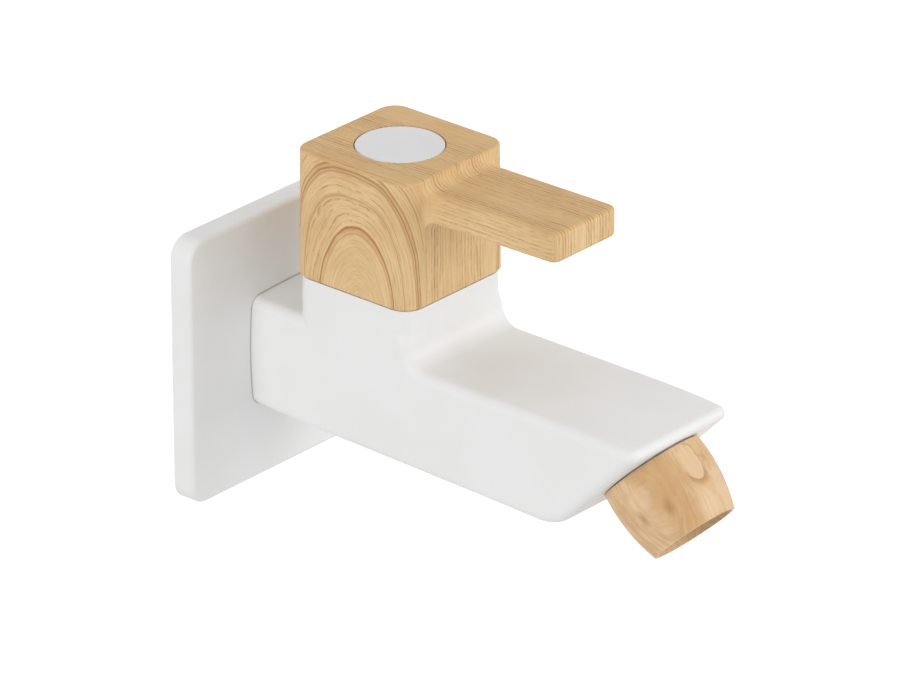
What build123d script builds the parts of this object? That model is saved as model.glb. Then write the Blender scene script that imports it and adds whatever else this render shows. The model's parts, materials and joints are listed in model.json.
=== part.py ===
"""Wall-mounted bib tap with a quarter-turn ceramic valve, in millimetres.

The origin lies on the wall plane at the centre of the inlet. +Y points into the wall,
the spout reaches out along -Y and +Z is up. The tap is closed, lever over the spout.
"""

import os
from math import atan, cos, degrees, pi, radians, sin, sqrt

from build123d import *

# Wall flange
FLANGE_WIDTH = 85.0
FLANGE_HEIGHT = 75.0
FLANGE_DEPTH = 6.5
FLANGE_CORNER = 5.6
FLANGE_EDGE = 1.4
FLANGE_WALL = 2.5
FLANGE_HOLE_R = 11.5
FLANGE_COLLAR_R = 15.0
FLANGE_RIB = 1.6
RIB_SHY = 0.3
GRIP_SECTION = 1.8
GRIP_GROOVE_DEPTH = 1.4
GRIP_GROOVE_HALF = 1.1

# Body: half width, levels and the places along Y
HALF_WIDTH = 19.45
VALVE_Y = -41.2
LEDGE_TOP = 14.5
SPOUT_TOP = 11.3
BODY_BOTTOM = -16.6
SPOUT_BOTTOM = -18.6
SPOUT_SAG = -17.3
TOWER_TOP = 26.3
TOWER_CORNER = 5.6
TOWER_FOOT_Z = 16.5
TOWER_FLARE_Z = 19.6
TOWER_FLARE_CORNER = 5.2
LONG_EDGE = 2.8
DROOP_Y = -114.0
TIP_Z = 10.1
HEEL_REACH = 1.0
MOUTH_CORNER = 13.5
TIP_EDGE = 1.9
FRONT_BLEND = 5.0
BLOCK_Y = -20.0
SHOULDER_Y = -FLANGE_DEPTH
SHOULDER_CROWN = 0.8
SHOULDER_RISE = 0.6

# Mouth of the spout: a face cut at 45 degrees, with the nozzle square to it
MOUTH_Y = -125.15
MOUTH_Z = -2.15
SPIGOT_R = 11.9
SPIGOT_LENGTH = 8.0
SPIGOT_BORE_R = 7.6
SPIGOT_CHAMFER = 0.6

# Waterway: a sloping core from the inlet, the riser, the well and the spout's duct
INLET_BORE_R = 6.5
CORE_R = 5.0
CORE_START_Z = -1.0
CORE_END_Z = -8.0
RISER_FLOOR = -12.0
SEAT_Z = 2.0
WELL_R = 10.1
SEAL_RECESS_R = 12.4
SEAL_RECESS_DEPTH = 2.2
WALL = 4.0
SIDE_WALL = 5.0
WELL_WALL = 4.2
DUCT_SLOPE = 6.3
DUCT_END = 4.6
OUTLET_LOW = 8.5
OUTLET_HIGH = 14.5
OUTLET_WIDTH = 15.0

# Inlet nipple, G1/2
THREAD_R = 10.48
THREAD_LENGTH = 15.0
NIPPLE_SHANK_R = 11.0
NIPPLE_BARREL_R = 12.5
NIPPLE_BACK_Y = -18.5
NIPPLE_CHAMFER = 1.0
BARREL_GROOVE_Y = -12.75
BARREL_GROOVE_HALF = 1.25
BARREL_GROOVE_DEPTH = 0.8
FLUTES = 12
FLUTE_WIDTH = 1.6
FLUTE_DEPTH = 0.4

# Quarter-turn headwork: levels up the valve axis
HOUSING_BOTTOM = 2.6
FIXED_DISC_Z = 4.4
DISC_THICKNESS = 3.1
DISC_R = 8.0
DISC_GAP = 0.03
PORT_SECTOR = 74.0
PORT_R = 6.2
PORT_CORE_R = 2.0
EAR_SECTOR = 20.0
EAR_SLOT_SECTOR = 24.0
CUT_R = 12.0
HOUSING_SKIRT_R = 9.2
HOUSING_BORE_R = 8.25
WINDOW_Z = 7.8
WINDOW_TOP = 14.6
HOUSING_THREAD_R = 10.45
HOUSING_THREAD_Z = 15.0
HOUSING_STEP_Z = 17.6
THREAD_RUNOUT = 0.4
STEM_BORE_R = 5.6
RIM_R = 13.0
RIM_EDGE = 0.5
HEX_ACROSS = 22.0
HEX_Z = 28.3
HEX_TOP = 35.0
HEX_CROWN_R = 11.2
NECK_R = 8.0
NECK_TOP = 38.0
FORK_SECTOR = 34.0
TURN = 90.0
STOP_PLAY = 3.0

# Spindle, its seals, clip and screw
RUN_GAP = 0.1
STEM_R = 5.53
COLLAR_R = 8.0
COLLAR_Z = 14.8
WASHER_THICKNESS = 0.5
SPLINE_R = 4.0
SPLINE_ROOT_R = 3.6
SPLINE_TEETH = 20
STEM_TOP = 40.2
SPLINE_Z = 41.0
SPINDLE_TOP = 52.0
O_RING_SECTION = 1.5
O_RING_LEVELS = (21.5, 26.5)
CLIP_Z = 38.3
CLIP_THICKNESS = 1.0
CLIP_GROOVE_R = 4.5
CLIP_R = 7.6
CLIP_MOUTH = 80.0
CLIP_EYE_R = 1.1
NOTCH_DEPTH = 1.5
NOTCH_SECTOR = 28.0
PRONG_R = 9.1
FORK_INNER_R = 5.2
SUPPORT_RING_R = 7.0
BODY_SEAL_R = 11.1
BODY_SEAL_SECTION = 1.9
SCREW_R = 2.0
SCREW_HOLE_DEPTH = 12.0
SCREW_REACH = 9.0
SCREW_HEAD_R = 3.6
SCREW_HEAD_HEIGHT = 2.4
RECESS_WIDTH = 4.2
RECESS_SLOT = 0.9
RECESS_DEPTH = 1.3

# Handle
HANDLE_BOTTOM = 26.85
HANDLE_TOP = 61.9
HANDLE_BASE = 40.0
HANDLE_CROWN = 39.35
HANDLE_CORNER = 5.6
HANDLE_EDGE = 0.8
HANDLE_FOOT_EDGE = 1.2
HANDLE_WALL = 2.6
LEVER_HALF_WIDTH = 12.35
LEVER_TOP = 58.7
LEVER_THICKNESS = 8.35
LEVER_START_Y = -12.0
LEVER_TIP_Y = -103.8
LEVER_TOP_RISE = 0.0105
LEVER_UNDER_RISE = 0.019
LEVER_ROOT = 3.0
LEVER_EDGE = 1.2
LEVER_CORNER = 2.6
LEVER_WALL = 2.2
LEVER_ROOF = 2.8
LEVER_RIB = 1.5
LEVER_FIRST_POCKET_Y = -24.0
LEVER_END_POCKET_Y = -59.0
POCKETS_PER_ROW = 4
RIB_BOTTOM = 45.0
CAP_HOLE_R = 11.95
CAP_R = 11.65
CAP_SEAT_Z = 56.9
CAP_THICKNESS = 1.8
CAP_SKIRT = 1.3
CAP_EDGE = 0.25
CAP_RIB = 0.3
BOSS_R = 9.6
BOSS_BOTTOM = 41.2
INSERT_ACROSS = 13.0
BUSH_SHY = 0.4

# Nozzle: distances along its own axis from the mouth face
NOZZLE_GAP = 0.6
NOZZLE_LENGTH = 20.9
NOZZLE_BASE_R = 14.0
NOZZLE_WAIST_R = 14.25
NOZZLE_WAIST = 8.5
NOZZLE_END_R = 11.9
NOZZLE_RIM = 1.0
NOZZLE_THREAD_R = 12.0
NOZZLE_LIP_R = 10.2
NOZZLE_LIP = 1.2
AERATOR_R = 11.0
AERATOR_TOP = 9.6
AERATOR_SEAT = 14.6
FLOW_DISC_R = 9.7
FLOW_DISC_BOTTOM = 12.0
FLOW_DISC_THICKNESS = 1.4
JET_R = 0.8
JET_RINGS = ((3.2, 5), (6.6, 10))
SCREEN_R = 9.4
SCREEN_THICKNESS = 0.35
GRID_DEPTH = 1.0
GRID_BAR = 0.8
GRID_RINGS = (2.6, 6.0)
GRID_SPOKES = 6

VALVE = Location((0, VALVE_Y, 0))
MOUTH = Plane(origin=(0, MOUTH_Y, MOUTH_Z), x_dir=(1, 0, 0), z_dir=(0, -1, -1)).location
INLET = Plane(origin=(0, 0, 0), x_dir=(1, 0, 0), z_dir=(0, 1, 0)).location


def disc(radius, low, high):
    """Cylinder about Z between two levels."""
    return Pos(0, 0, low) * extrude(Circle(radius), amount=high - low)


def ring(outer, inner, low, high):
    """Plain tube about Z between two levels."""
    return Pos(0, 0, low) * extrude(Circle(outer) - Circle(inner), amount=high - low)


def turned(points):
    """Solid turned about Z from a closed outline of (radius, height) points."""
    outline = Polyline([(r, 0, z) for r, z in points], close=True)
    return revolve(make_face(outline), Axis.Z)


def seal_ring(radius, section, height):
    """Rubber ring squeezed into its groove: its round section is pressed to an octagon."""
    reach = section / 2 / cos(pi / 8)
    angles = [pi / 8 + side * pi / 4 for side in range(8)]
    return turned([(radius + reach * cos(a), height + reach * sin(a)) for a in angles])


def sector(radius, centre_deg, width_deg, low, high):
    """Wedge about Z with a round rim, for ports, windows and lugs."""
    angles = [radians(centre_deg + share * width_deg) for share in (-0.5, 0, 0.5)]
    rim = ThreePointArc(*[(radius * cos(a), radius * sin(a)) for a in angles])
    face = make_face([Line((0, 0), rim @ 0), rim, Line(rim @ 1, (0, 0))])
    return Pos(0, 0, low) * extrude(face, amount=high - low)


def hexagon(across_flats, low, high):
    """Six-sided prism about Z."""
    face = RegularPolygon(across_flats / 2, 6, major_radius=False)
    return Pos(0, 0, low) * extrude(face, amount=high - low)


def spline_section(tip_r, root_r):
    """Cross section of the spindle's splined end, or of the socket that fits it."""
    points = []
    for tooth in range(SPLINE_TEETH):
        for share, radius in ((0.0, root_r), (0.25, tip_r), (0.5, tip_r), (0.75, root_r)):
            angle = 2 * pi * (tooth + share) / SPLINE_TEETH
            points.append((radius * cos(angle), radius * sin(angle)))
    return make_face(Polyline(points, close=True))


def wall_flange():
    """Cover plate, hollow behind, with ribs and a collar round the nipple."""
    plate = RectangleRounded(FLANGE_WIDTH, FLANGE_HEIGHT, FLANGE_CORNER)
    shell = extrude(plate, amount=-FLANGE_DEPTH)
    shell = fillet(shell.faces().sort_by(Axis.Z)[0].edges(), FLANGE_EDGE)
    inner = RectangleRounded(
        FLANGE_WIDTH - 2 * FLANGE_WALL,
        FLANGE_HEIGHT - 2 * FLANGE_WALL,
        FLANGE_CORNER - FLANGE_WALL,
    )
    shell -= extrude(inner, amount=-(FLANGE_DEPTH - FLANGE_WALL))
    root = -FLANGE_DEPTH + FLANGE_WALL / 2
    long_rib = Rectangle(FLANGE_WIDTH - FLANGE_WALL, FLANGE_RIB)
    tall_rib = Rectangle(FLANGE_RIB, FLANGE_HEIGHT - FLANGE_WALL)
    ribs = Sketch()
    for offset in (-FLANGE_COLLAR_R, 0, FLANGE_COLLAR_R):
        ribs += Pos(0, offset) * long_rib
        ribs += Pos(offset, 0) * tall_rib
    ribs += Circle(FLANGE_COLLAR_R)
    shell += Pos(0, 0, root) * extrude(ribs, amount=-root - RIB_SHY)
    shell -= disc(FLANGE_HOLE_R, -FLANGE_DEPTH - 1, 1)
    return INLET * shell


def inlet_nipple():
    """Brass inlet: thread for the wall fitting, shank and a fluted barrel in the body."""
    grip_y = -FLANGE_DEPTH / 2
    grip_r = NIPPLE_SHANK_R - GRIP_GROOVE_DEPTH
    barrel_r = NIPPLE_BARREL_R - BARREL_GROOVE_DEPTH
    points = [
        (INLET_BORE_R, NIPPLE_BACK_Y),
        (NIPPLE_BARREL_R, NIPPLE_BACK_Y),
        (NIPPLE_BARREL_R, BARREL_GROOVE_Y - BARREL_GROOVE_HALF - BARREL_GROOVE_DEPTH),
        (barrel_r, BARREL_GROOVE_Y - BARREL_GROOVE_HALF),
        (barrel_r, BARREL_GROOVE_Y + BARREL_GROOVE_HALF),
        (NIPPLE_BARREL_R, BARREL_GROOVE_Y + BARREL_GROOVE_HALF + BARREL_GROOVE_DEPTH),
        (NIPPLE_BARREL_R, SHOULDER_Y),
        (NIPPLE_SHANK_R, SHOULDER_Y),
        (NIPPLE_SHANK_R, grip_y - GRIP_GROOVE_HALF),
        (grip_r, grip_y - GRIP_GROOVE_HALF),
        (grip_r, grip_y + GRIP_GROOVE_HALF),
        (NIPPLE_SHANK_R, grip_y + GRIP_GROOVE_HALF),
        (NIPPLE_SHANK_R, THREAD_R - NIPPLE_SHANK_R),
        (THREAD_R, 0.0),
        (THREAD_R, THREAD_LENGTH - NIPPLE_CHAMFER),
        (THREAD_R - NIPPLE_CHAMFER, THREAD_LENGTH),
        (INLET_BORE_R + NIPPLE_CHAMFER, THREAD_LENGTH),
        (INLET_BORE_R, THREAD_LENGTH - NIPPLE_CHAMFER),
    ]
    nipple = turned(points)
    land = BARREL_GROOVE_Y - BARREL_GROOVE_HALF - NIPPLE_BACK_Y
    flute = Pos(0, 0, NIPPLE_BACK_Y + land / 2) * Box(2 * FLUTE_DEPTH, FLUTE_WIDTH, land)
    for place in PolarLocations(NIPPLE_BARREL_R, FLUTES):
        nipple -= place * flute
    return INLET * nipple


def flange_grip_ring():
    """Rubber ring in the nipple's groove that holds the flange still."""
    radius = FLANGE_HOLE_R - RUN_GAP / 2 - GRIP_SECTION / 2
    return INLET * seal_ring(radius, GRIP_SECTION, -FLANGE_DEPTH / 2)


def shoulder_section(y, crown, top, bottom):
    """Rounded rectangle across the inlet block, its four sides bowed out by crown."""
    right = HALF_WIDTH - crown
    high, low = top - crown, bottom + crown
    middle = (top + bottom) / 2
    outline = [
        ThreePointArc((right, high), (0, top), (-right, high)),
        ThreePointArc((-right, high), (-HALF_WIDTH, middle), (-right, low)),
        ThreePointArc((-right, low), (0, bottom), (right, low)),
        ThreePointArc((right, low), (HALF_WIDTH, middle), (right, high)),
    ]
    face = make_face(outline)
    face = fillet(face.vertices(), LONG_EDGE)
    return Plane(origin=(0, y, 0), x_dir=(-1, 0, 0), z_dir=(0, 1, 0)).location * face


def tower_section(level, front_corner, back_corner):
    """Square cross section of the tower at a level, with its corner radii in front and behind."""
    square = Rectangle(2 * HALF_WIDTH, 2 * HALF_WIDTH)
    square = fillet(square.vertices().group_by(Axis.Y)[0], front_corner)
    square = fillet(square.vertices().group_by(Axis.Y)[-1], back_corner)
    return Pos(0, VALVE_Y, level) * square


def body_outside():
    """Inlet block, tower and spout as one skin, before the waterway is cut."""
    front = VALVE_Y - HALF_WIDTH
    face_sum = MOUTH_Y + MOUTH_Z
    tip = (face_sum - TIP_Z, TIP_Z)
    heel = (face_sum - SPOUT_BOTTOM - HEEL_REACH, SPOUT_BOTTOM)
    droop = (DROOP_Y, SPOUT_TOP)
    steps = Polyline(
        droop,
        (front, SPOUT_TOP),
        (front, TOWER_FOOT_Z),
        (VALVE_Y, TOWER_FOOT_Z),
        (VALVE_Y, LEDGE_TOP),
        (BLOCK_Y, LEDGE_TOP),
        (BLOCK_Y, BODY_BOTTOM),
    )
    under = ThreePointArc((BLOCK_Y, BODY_BOTTOM), (front, SPOUT_SAG), heel)
    top = TangentArc(droop, tip, tangent=(-1, 0))
    side = make_face([*steps.edges(), under, Line(heel, tip), top])
    for place, radius in (
        ((front, SPOUT_TOP), FRONT_BLEND),
        (heel, MOUTH_CORNER),
        (tip, TIP_EDGE),
    ):
        side = fillet(side.vertices().sort_by_distance((*place, 0))[0], radius)
    body = extrude(Plane.YZ.location * side, amount=HALF_WIDTH, both=True)
    spout_and_ledge_edges = body.edges().filter_by(Axis.Y).sort_by(Axis.Z)[:4]
    body = fillet(spout_and_ledge_edges, LONG_EDGE)
    root = tower_section(LEDGE_TOP - LONG_EDGE, TOWER_FLARE_CORNER, TOWER_FLARE_CORNER)
    foot = tower_section(TOWER_FOOT_Z, LONG_EDGE, TOWER_FLARE_CORNER)
    flare = tower_section(TOWER_FLARE_Z, TOWER_FLARE_CORNER, TOWER_FLARE_CORNER)
    body += extrude(root, amount=TOWER_FOOT_Z - LEDGE_TOP + LONG_EDGE)
    body += loft([foot, flare])
    body += loft([flare, tower_section(TOWER_TOP, TOWER_CORNER, TOWER_CORNER)])
    inner = shoulder_section(BLOCK_Y, 0.02, LEDGE_TOP, BODY_BOTTOM)
    outer = shoulder_section(SHOULDER_Y, SHOULDER_CROWN, LEDGE_TOP + SHOULDER_RISE, BODY_BOTTOM)
    body += loft([inner, outer])
    return body


def waterway():
    """Everything that is hollow in the body: inlet, riser, well and spout duct."""
    core_start = Vector(0, NIPPLE_BACK_Y, CORE_START_Z)
    core_end = Vector(0, VALVE_Y, CORE_END_Z)
    slope = Plane(origin=core_start, z_dir=core_end - core_start).location
    hollow = slope * disc(CORE_R, -1.0, (core_end - core_start).length)
    hollow += INLET * disc(NIPPLE_BARREL_R, NIPPLE_BACK_Y, 0)
    well = disc(CORE_R, RISER_FLOOR, SEAT_Z + 1)
    well += disc(WELL_R, SEAT_Z, HOUSING_THREAD_Z)
    well += disc(HOUSING_THREAD_R + RUN_GAP / 2, HOUSING_THREAD_Z - 0.5, TOWER_TOP)
    well += disc(SEAL_RECESS_R, TOWER_TOP - SEAL_RECESS_DEPTH, TOWER_TOP)
    hollow += VALVE * well
    hollow += MOUTH * disc(SPIGOT_BORE_R, -DUCT_END - 1.0, SPIGOT_LENGTH)
    return hollow + spout_duct()


def spout_duct():
    """Duct inside the spout, joined to the well by an outlet above the seat."""
    well_front = VALVE_Y - WELL_R
    back = well_front - WELL_WALL
    roof = SPOUT_TOP - WALL
    floor = BODY_BOTTOM + WALL
    face_sum = MOUTH_Y + MOUTH_Z + DUCT_END * sqrt(2)
    outline = Polyline(
        (back, OUTLET_HIGH),
        (back - DUCT_SLOPE, roof),
        (face_sum - roof, roof),
        (face_sum - floor, floor),
        (back, floor),
        close=True,
    )
    duct = extrude(Plane.YZ.location * make_face(outline), amount=HALF_WIDTH - SIDE_WALL, both=True)
    outlet_z = (OUTLET_LOW + OUTLET_HIGH) / 2
    outlet = Box(OUTLET_WIDTH, 2 * WELL_WALL + 1.0, OUTLET_HIGH - OUTLET_LOW)
    return duct + Pos(0, well_front, outlet_z) * outlet


def main_body():
    """Moulded body with its threaded spigot for the nozzle."""
    body = body_outside()
    spigot = disc(SPIGOT_R, -2.0, SPIGOT_LENGTH)
    spigot = chamfer(spigot.edges().sort_by(Axis.Z)[-1], SPIGOT_CHAMFER)
    body += MOUTH * spigot
    return body - waterway()


def headwork_housing():
    """Brass cartridge body: skirt with windows, thread, hexagon and neck."""
    relief_r = HOUSING_THREAD_R - THREAD_RUNOUT
    relief_z = TOWER_TOP - SEAL_RECESS_DEPTH - 0.2
    points = [
        (HOUSING_BORE_R, HOUSING_BOTTOM),
        (HOUSING_SKIRT_R, HOUSING_BOTTOM),
        (HOUSING_SKIRT_R, HOUSING_THREAD_Z),
        (HOUSING_THREAD_R, HOUSING_THREAD_Z + 0.8),
        (HOUSING_THREAD_R, relief_z - THREAD_RUNOUT),
        (relief_r, relief_z),
        (relief_r, TOWER_TOP),
        (RIM_R, TOWER_TOP),
        (RIM_R, HEX_Z - RIM_EDGE),
        (RIM_R - RIM_EDGE, HEX_Z),
        (NECK_R, HEX_Z),
        (NECK_R, NECK_TOP - RIM_EDGE),
        (NECK_R - RIM_EDGE, NECK_TOP),
        (STEM_BORE_R, NECK_TOP),
        (STEM_BORE_R, HOUSING_STEP_Z),
        (HOUSING_BORE_R, HOUSING_STEP_Z),
    ]
    housing = turned(points)
    crown = turned([(0, HEX_Z), (HEX_ACROSS, HEX_Z), (HEX_CROWN_R, HEX_TOP), (0, HEX_TOP)])
    nut = hexagon(HEX_ACROSS, HEX_Z, HEX_TOP) & crown
    housing += nut - disc(NECK_R - 1.0, HEX_Z, HEX_TOP)
    opening = TURN + FORK_SECTOR + 2 * STOP_PLAY
    for centre in (90, 270):
        housing -= sector(CUT_R, centre, opening, WINDOW_Z, WINDOW_TOP)
    for centre in (0, 180):
        housing -= sector(CUT_R, centre, EAR_SLOT_SECTOR, HOUSING_BOTTOM, FIXED_DISC_Z + DISC_THICKNESS)
    return VALVE * housing


def ported_disc(low, port_centres):
    """Lapped ceramic disc with two ports opposite each other."""
    top = low + DISC_THICKNESS
    plate = disc(DISC_R, low, top)
    for centre in port_centres:
        plate -= sector(PORT_R, centre, PORT_SECTOR, low, top) - disc(PORT_CORE_R, low, top)
    return plate


def fixed_disc():
    """Lower disc, kept from turning by two ears in the housing's skirt."""
    plate = ported_disc(FIXED_DISC_Z, (45, 225))
    top = FIXED_DISC_Z + DISC_THICKNESS
    for centre in (0, 180):
        ear = sector(HOUSING_SKIRT_R - RUN_GAP, centre, EAR_SECTOR, FIXED_DISC_Z, top)
        plate += ear - disc(PORT_R, FIXED_DISC_Z, top)
    return VALVE * plate


def moving_disc():
    """Upper disc, its ports a quarter turn from the lower ones while closed."""
    low = FIXED_DISC_Z + DISC_THICKNESS + DISC_GAP
    top = low + DISC_THICKNESS
    plate = ported_disc(low, (135, 315))
    for centre in (45, 225):
        notch = sector(DISC_R + 1, centre, NOTCH_SECTOR, top - NOTCH_DEPTH, top)
        plate -= notch - disc(FORK_INNER_R - 2 * RUN_GAP, top - NOTCH_DEPTH, top)
    return VALVE * plate


def spindle():
    """Stem with seal grooves, splined end, collar and the fork for the moving disc."""
    half_groove = O_RING_SECTION / 2 + RUN_GAP
    root_r = STEM_R - O_RING_SECTION
    collar_top = HOUSING_STEP_Z - WASHER_THICKNESS
    clip_top = CLIP_Z + CLIP_THICKNESS + RUN_GAP
    points = [(0, COLLAR_Z), (COLLAR_R, COLLAR_Z), (COLLAR_R, collar_top), (STEM_R, collar_top)]
    for level in O_RING_LEVELS:
        points += [
            (STEM_R, level - half_groove),
            (root_r, level - half_groove),
            (root_r, level + half_groove),
            (STEM_R, level + half_groove),
        ]
    points += [
        (STEM_R, CLIP_Z),
        (CLIP_GROOVE_R, CLIP_Z),
        (CLIP_GROOVE_R, clip_top),
        (STEM_R, clip_top),
        (STEM_R, STEM_TOP),
        (SPLINE_ROOT_R, SPLINE_Z),
        (0, SPLINE_Z),
    ]
    stem = turned(points)
    teeth = extrude(spline_section(SPLINE_R, SPLINE_ROOT_R), amount=SPINDLE_TOP - SPLINE_Z)
    stem += Pos(0, 0, SPLINE_Z) * teeth
    disc_top = FIXED_DISC_Z + 2 * DISC_THICKNESS + DISC_GAP
    tooth_low = disc_top - NOTCH_DEPTH + RUN_GAP / 2
    for centre in (45, 225):
        prong = sector(PRONG_R, centre, FORK_SECTOR, disc_top + RUN_GAP, WINDOW_TOP - 2 * RUN_GAP)
        tooth = sector(DISC_R, centre, NOTCH_SECTOR - 2.0, tooth_low, COLLAR_Z)
        stem += (prong + tooth) - disc(FORK_INNER_R, tooth_low, COLLAR_Z)
    stem -= disc(SCREW_R, SPINDLE_TOP - SCREW_HOLE_DEPTH, SPINDLE_TOP)
    return VALVE * stem


def base_seal():
    """Rubber ring that the headwork presses on the body's seat."""
    return VALVE * ring(HOUSING_BORE_R - RUN_GAP / 2, SUPPORT_RING_R, SEAT_Z, FIXED_DISC_Z)


def seal_support_ring():
    """Hard ring that keeps the base seal from being sucked inward."""
    return VALVE * ring(SUPPORT_RING_R, PORT_R + RUN_GAP, SEAT_Z + 2 * RUN_GAP, FIXED_DISC_Z)


def headwork_o_ring():
    """Seal between the headwork's flange and the top of the tower."""
    return VALVE * seal_ring(BODY_SEAL_R, BODY_SEAL_SECTION, TOWER_TOP - SEAL_RECESS_DEPTH / 2)


def spindle_o_rings():
    """Two rings in the stem's grooves."""
    centre_r = STEM_BORE_R - RUN_GAP / 2 - O_RING_SECTION / 2
    rings = Part()
    for level in O_RING_LEVELS:
        rings += seal_ring(centre_r, O_RING_SECTION - RUN_GAP / 2, level)
    return VALVE * rings


def thrust_washer():
    """Slip washer between the spindle's collar and the housing's step."""
    bottom = HOUSING_STEP_Z - WASHER_THICKNESS
    return VALVE * ring(COLLAR_R, STEM_R + RUN_GAP / 2, bottom, HOUSING_STEP_Z - DISC_GAP)


def retaining_clip():
    """Open spring clip in the stem's top groove, resting over the housing's neck."""
    low = CLIP_Z + RUN_GAP / 2
    top = low + CLIP_THICKNESS
    clip = ring(CLIP_R, CLIP_GROOVE_R + DISC_GAP, low, top) - sector(CUT_R, 90, CLIP_MOUTH, low, top)
    for angle in (210, 330):
        clip -= Rot(0, 0, angle) * Pos(CLIP_GROOVE_R, 0, 0) * disc(CLIP_EYE_R, low, top)
    return VALVE * clip


def lever():
    """Flat lever with softened edges, cored and ribbed underneath."""
    tip_y = LEVER_TIP_Y - VALVE_Y
    gauge_y = (tip_y - HANDLE_BASE / 2) / 2
    under = LEVER_TOP - LEVER_THICKNESS
    corners = []
    for y, level, rise in (
        (LEVER_START_Y, LEVER_TOP, LEVER_TOP_RISE),
        (tip_y, LEVER_TOP, LEVER_TOP_RISE),
        (tip_y, under, LEVER_UNDER_RISE),
        (LEVER_START_Y, under, LEVER_UNDER_RISE),
    ):
        corners.append((y, level - rise * (y - gauge_y)))
    side = Plane.YZ.location * make_face(Polyline(corners, close=True))
    bar = extrude(side, amount=LEVER_HALF_WIDTH, both=True)
    bar = fillet(bar.edges().filter_by(Axis.Z).sort_by(Axis.Y)[:2], LEVER_CORNER)
    rims = bar.faces().filter_by(Axis.Z, tolerance=3).edges()
    return fillet(rims.filter_by(lambda rim: rim.center().Y < LEVER_START_Y - 1), LEVER_EDGE)


def lever_pockets():
    """Cores under the lever: two rows of pockets with ribs between them."""
    pitch = (LEVER_FIRST_POCKET_Y - LEVER_END_POCKET_Y) / POCKETS_PER_ROW
    half = LEVER_HALF_WIDTH - LEVER_WALL
    pocket = Rectangle(half - LEVER_RIB / 2, pitch - LEVER_RIB)
    middle = (half + LEVER_RIB / 2) / 2
    pockets = Sketch()
    for index in range(POCKETS_PER_ROW):
        y = LEVER_FIRST_POCKET_Y - (index + 0.5) * pitch
        pockets += [Pos(-middle, y) * pocket, Pos(middle, y) * pocket]
    return Pos(0, 0, LEVER_TOP - LEVER_ROOF) * extrude(pockets, amount=-LEVER_THICKNESS)


def cube(grow, low, high):
    """Handle's cube between two levels, grown all round by a distance, with its draft."""
    rise = HANDLE_TOP - HANDLE_BOTTOM
    draft = degrees(atan((HANDLE_BASE - HANDLE_CROWN) / 2 / rise))
    side = HANDLE_BASE + 2 * grow
    foot = RectangleRounded(side, side, HANDLE_CORNER + grow)
    return Pos(0, 0, low) * extrude(foot, amount=high - low, taper=draft)


def handle():
    """Cube and lever in one moulding, hollow under the cube, with a splined-bush boss."""
    knob = cube(0, HANDLE_BOTTOM, HANDLE_TOP) + lever()
    front = -HANDLE_BASE / 2
    root = []
    for edge in knob.edges():
        middle = edge.center()
        on_front = abs(middle.Y - front) < LEVER_EDGE and abs(middle.X) < LEVER_HALF_WIDTH + LEVER_EDGE
        if on_front and HANDLE_BOTTOM + LEVER_ROOT < middle.Z < HANDLE_TOP - LEVER_EDGE:
            root.append(edge)
    knob = fillet(root, LEVER_ROOT)
    knob = fillet(knob.faces().sort_by(Axis.Z)[-1].edges(), HANDLE_EDGE)
    knob = chamfer(knob.faces().sort_by(Axis.Z)[0].edges(), HANDLE_FOOT_EDGE)
    knob -= lever_pockets()
    knob -= handle_cavity()
    knob += disc(BOSS_R, BOSS_BOTTOM, CAP_SEAT_Z)
    knob -= disc(CAP_HOLE_R, CAP_SEAT_Z, HANDLE_TOP)
    knob -= hexagon(INSERT_ACROSS, BOSS_BOTTOM, SPINDLE_TOP + BUSH_SHY)
    knob -= disc(SCREW_R + 2 * RUN_GAP, SPINDLE_TOP, CAP_SEAT_Z)
    return VALVE * knob


def handle_cavity():
    """Space inside the cube, less the cup for the cap and four ribs to the boss."""
    roof = HANDLE_TOP - HANDLE_WALL
    space = cube(-HANDLE_WALL, HANDLE_BOTTOM, roof)
    space -= disc(CAP_HOLE_R + HANDLE_WALL, CAP_SEAT_Z - HANDLE_WALL, roof)
    rib = Pos(0, 0, (RIB_BOTTOM + roof) / 2) * Box(HANDLE_BASE, LEVER_RIB, roof - RIB_BOTTOM)
    return space - rib - Rot(0, 0, 90) * rib


def handle_insert():
    """Splined bush pressed into the handle's boss."""
    bush = hexagon(INSERT_ACROSS - RUN_GAP / 2, BOSS_BOTTOM, SPINDLE_TOP + BUSH_SHY / 2)
    socket = spline_section(SPLINE_R + RUN_GAP / 2, SPLINE_ROOT_R + RUN_GAP / 2)
    return VALVE * (bush - Pos(0, 0, BOSS_BOTTOM) * extrude(socket, amount=SPINDLE_TOP))


def handle_screw():
    """Pan-head screw with a cross recess that holds the handle down."""
    head_top = CAP_SEAT_Z + SCREW_HEAD_HEIGHT
    shank_r = SCREW_R - RUN_GAP / 2
    screw = turned(
        [
            (0, SPINDLE_TOP - SCREW_REACH),
            (shank_r - 0.5, SPINDLE_TOP - SCREW_REACH),
            (shank_r, SPINDLE_TOP - SCREW_REACH + 0.5),
            (shank_r, CAP_SEAT_Z),
            (SCREW_HEAD_R, CAP_SEAT_Z),
            (SCREW_HEAD_R, head_top - 0.7),
            (SCREW_HEAD_R - 0.9, head_top),
            (0, head_top),
        ]
    )
    slot = Pos(0, 0, head_top) * Box(RECESS_WIDTH, RECESS_SLOT, 2 * RECESS_DEPTH)
    return VALVE * (screw - slot - Rot(0, 0, 90) * slot)


def screw_cap():
    """White disc, flush with the handle's top, held by a skirt with six small ribs."""
    underside = HANDLE_TOP - CAP_THICKNESS
    cap = disc(CAP_R, underside, HANDLE_TOP)
    cap = chamfer(cap.faces().sort_by(Axis.Z)[-1].edges(), CAP_EDGE)
    foot = CAP_SEAT_Z + CAP_EDGE
    cap += ring(CAP_R, CAP_R - CAP_SKIRT, foot, underside)
    height = underside - foot
    for place in PolarLocations(CAP_R, 6):
        cap += Pos(0, 0, foot + height / 2) * place * Box(CAP_RIB, CAP_RIB, height)
    return VALVE * cap


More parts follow.
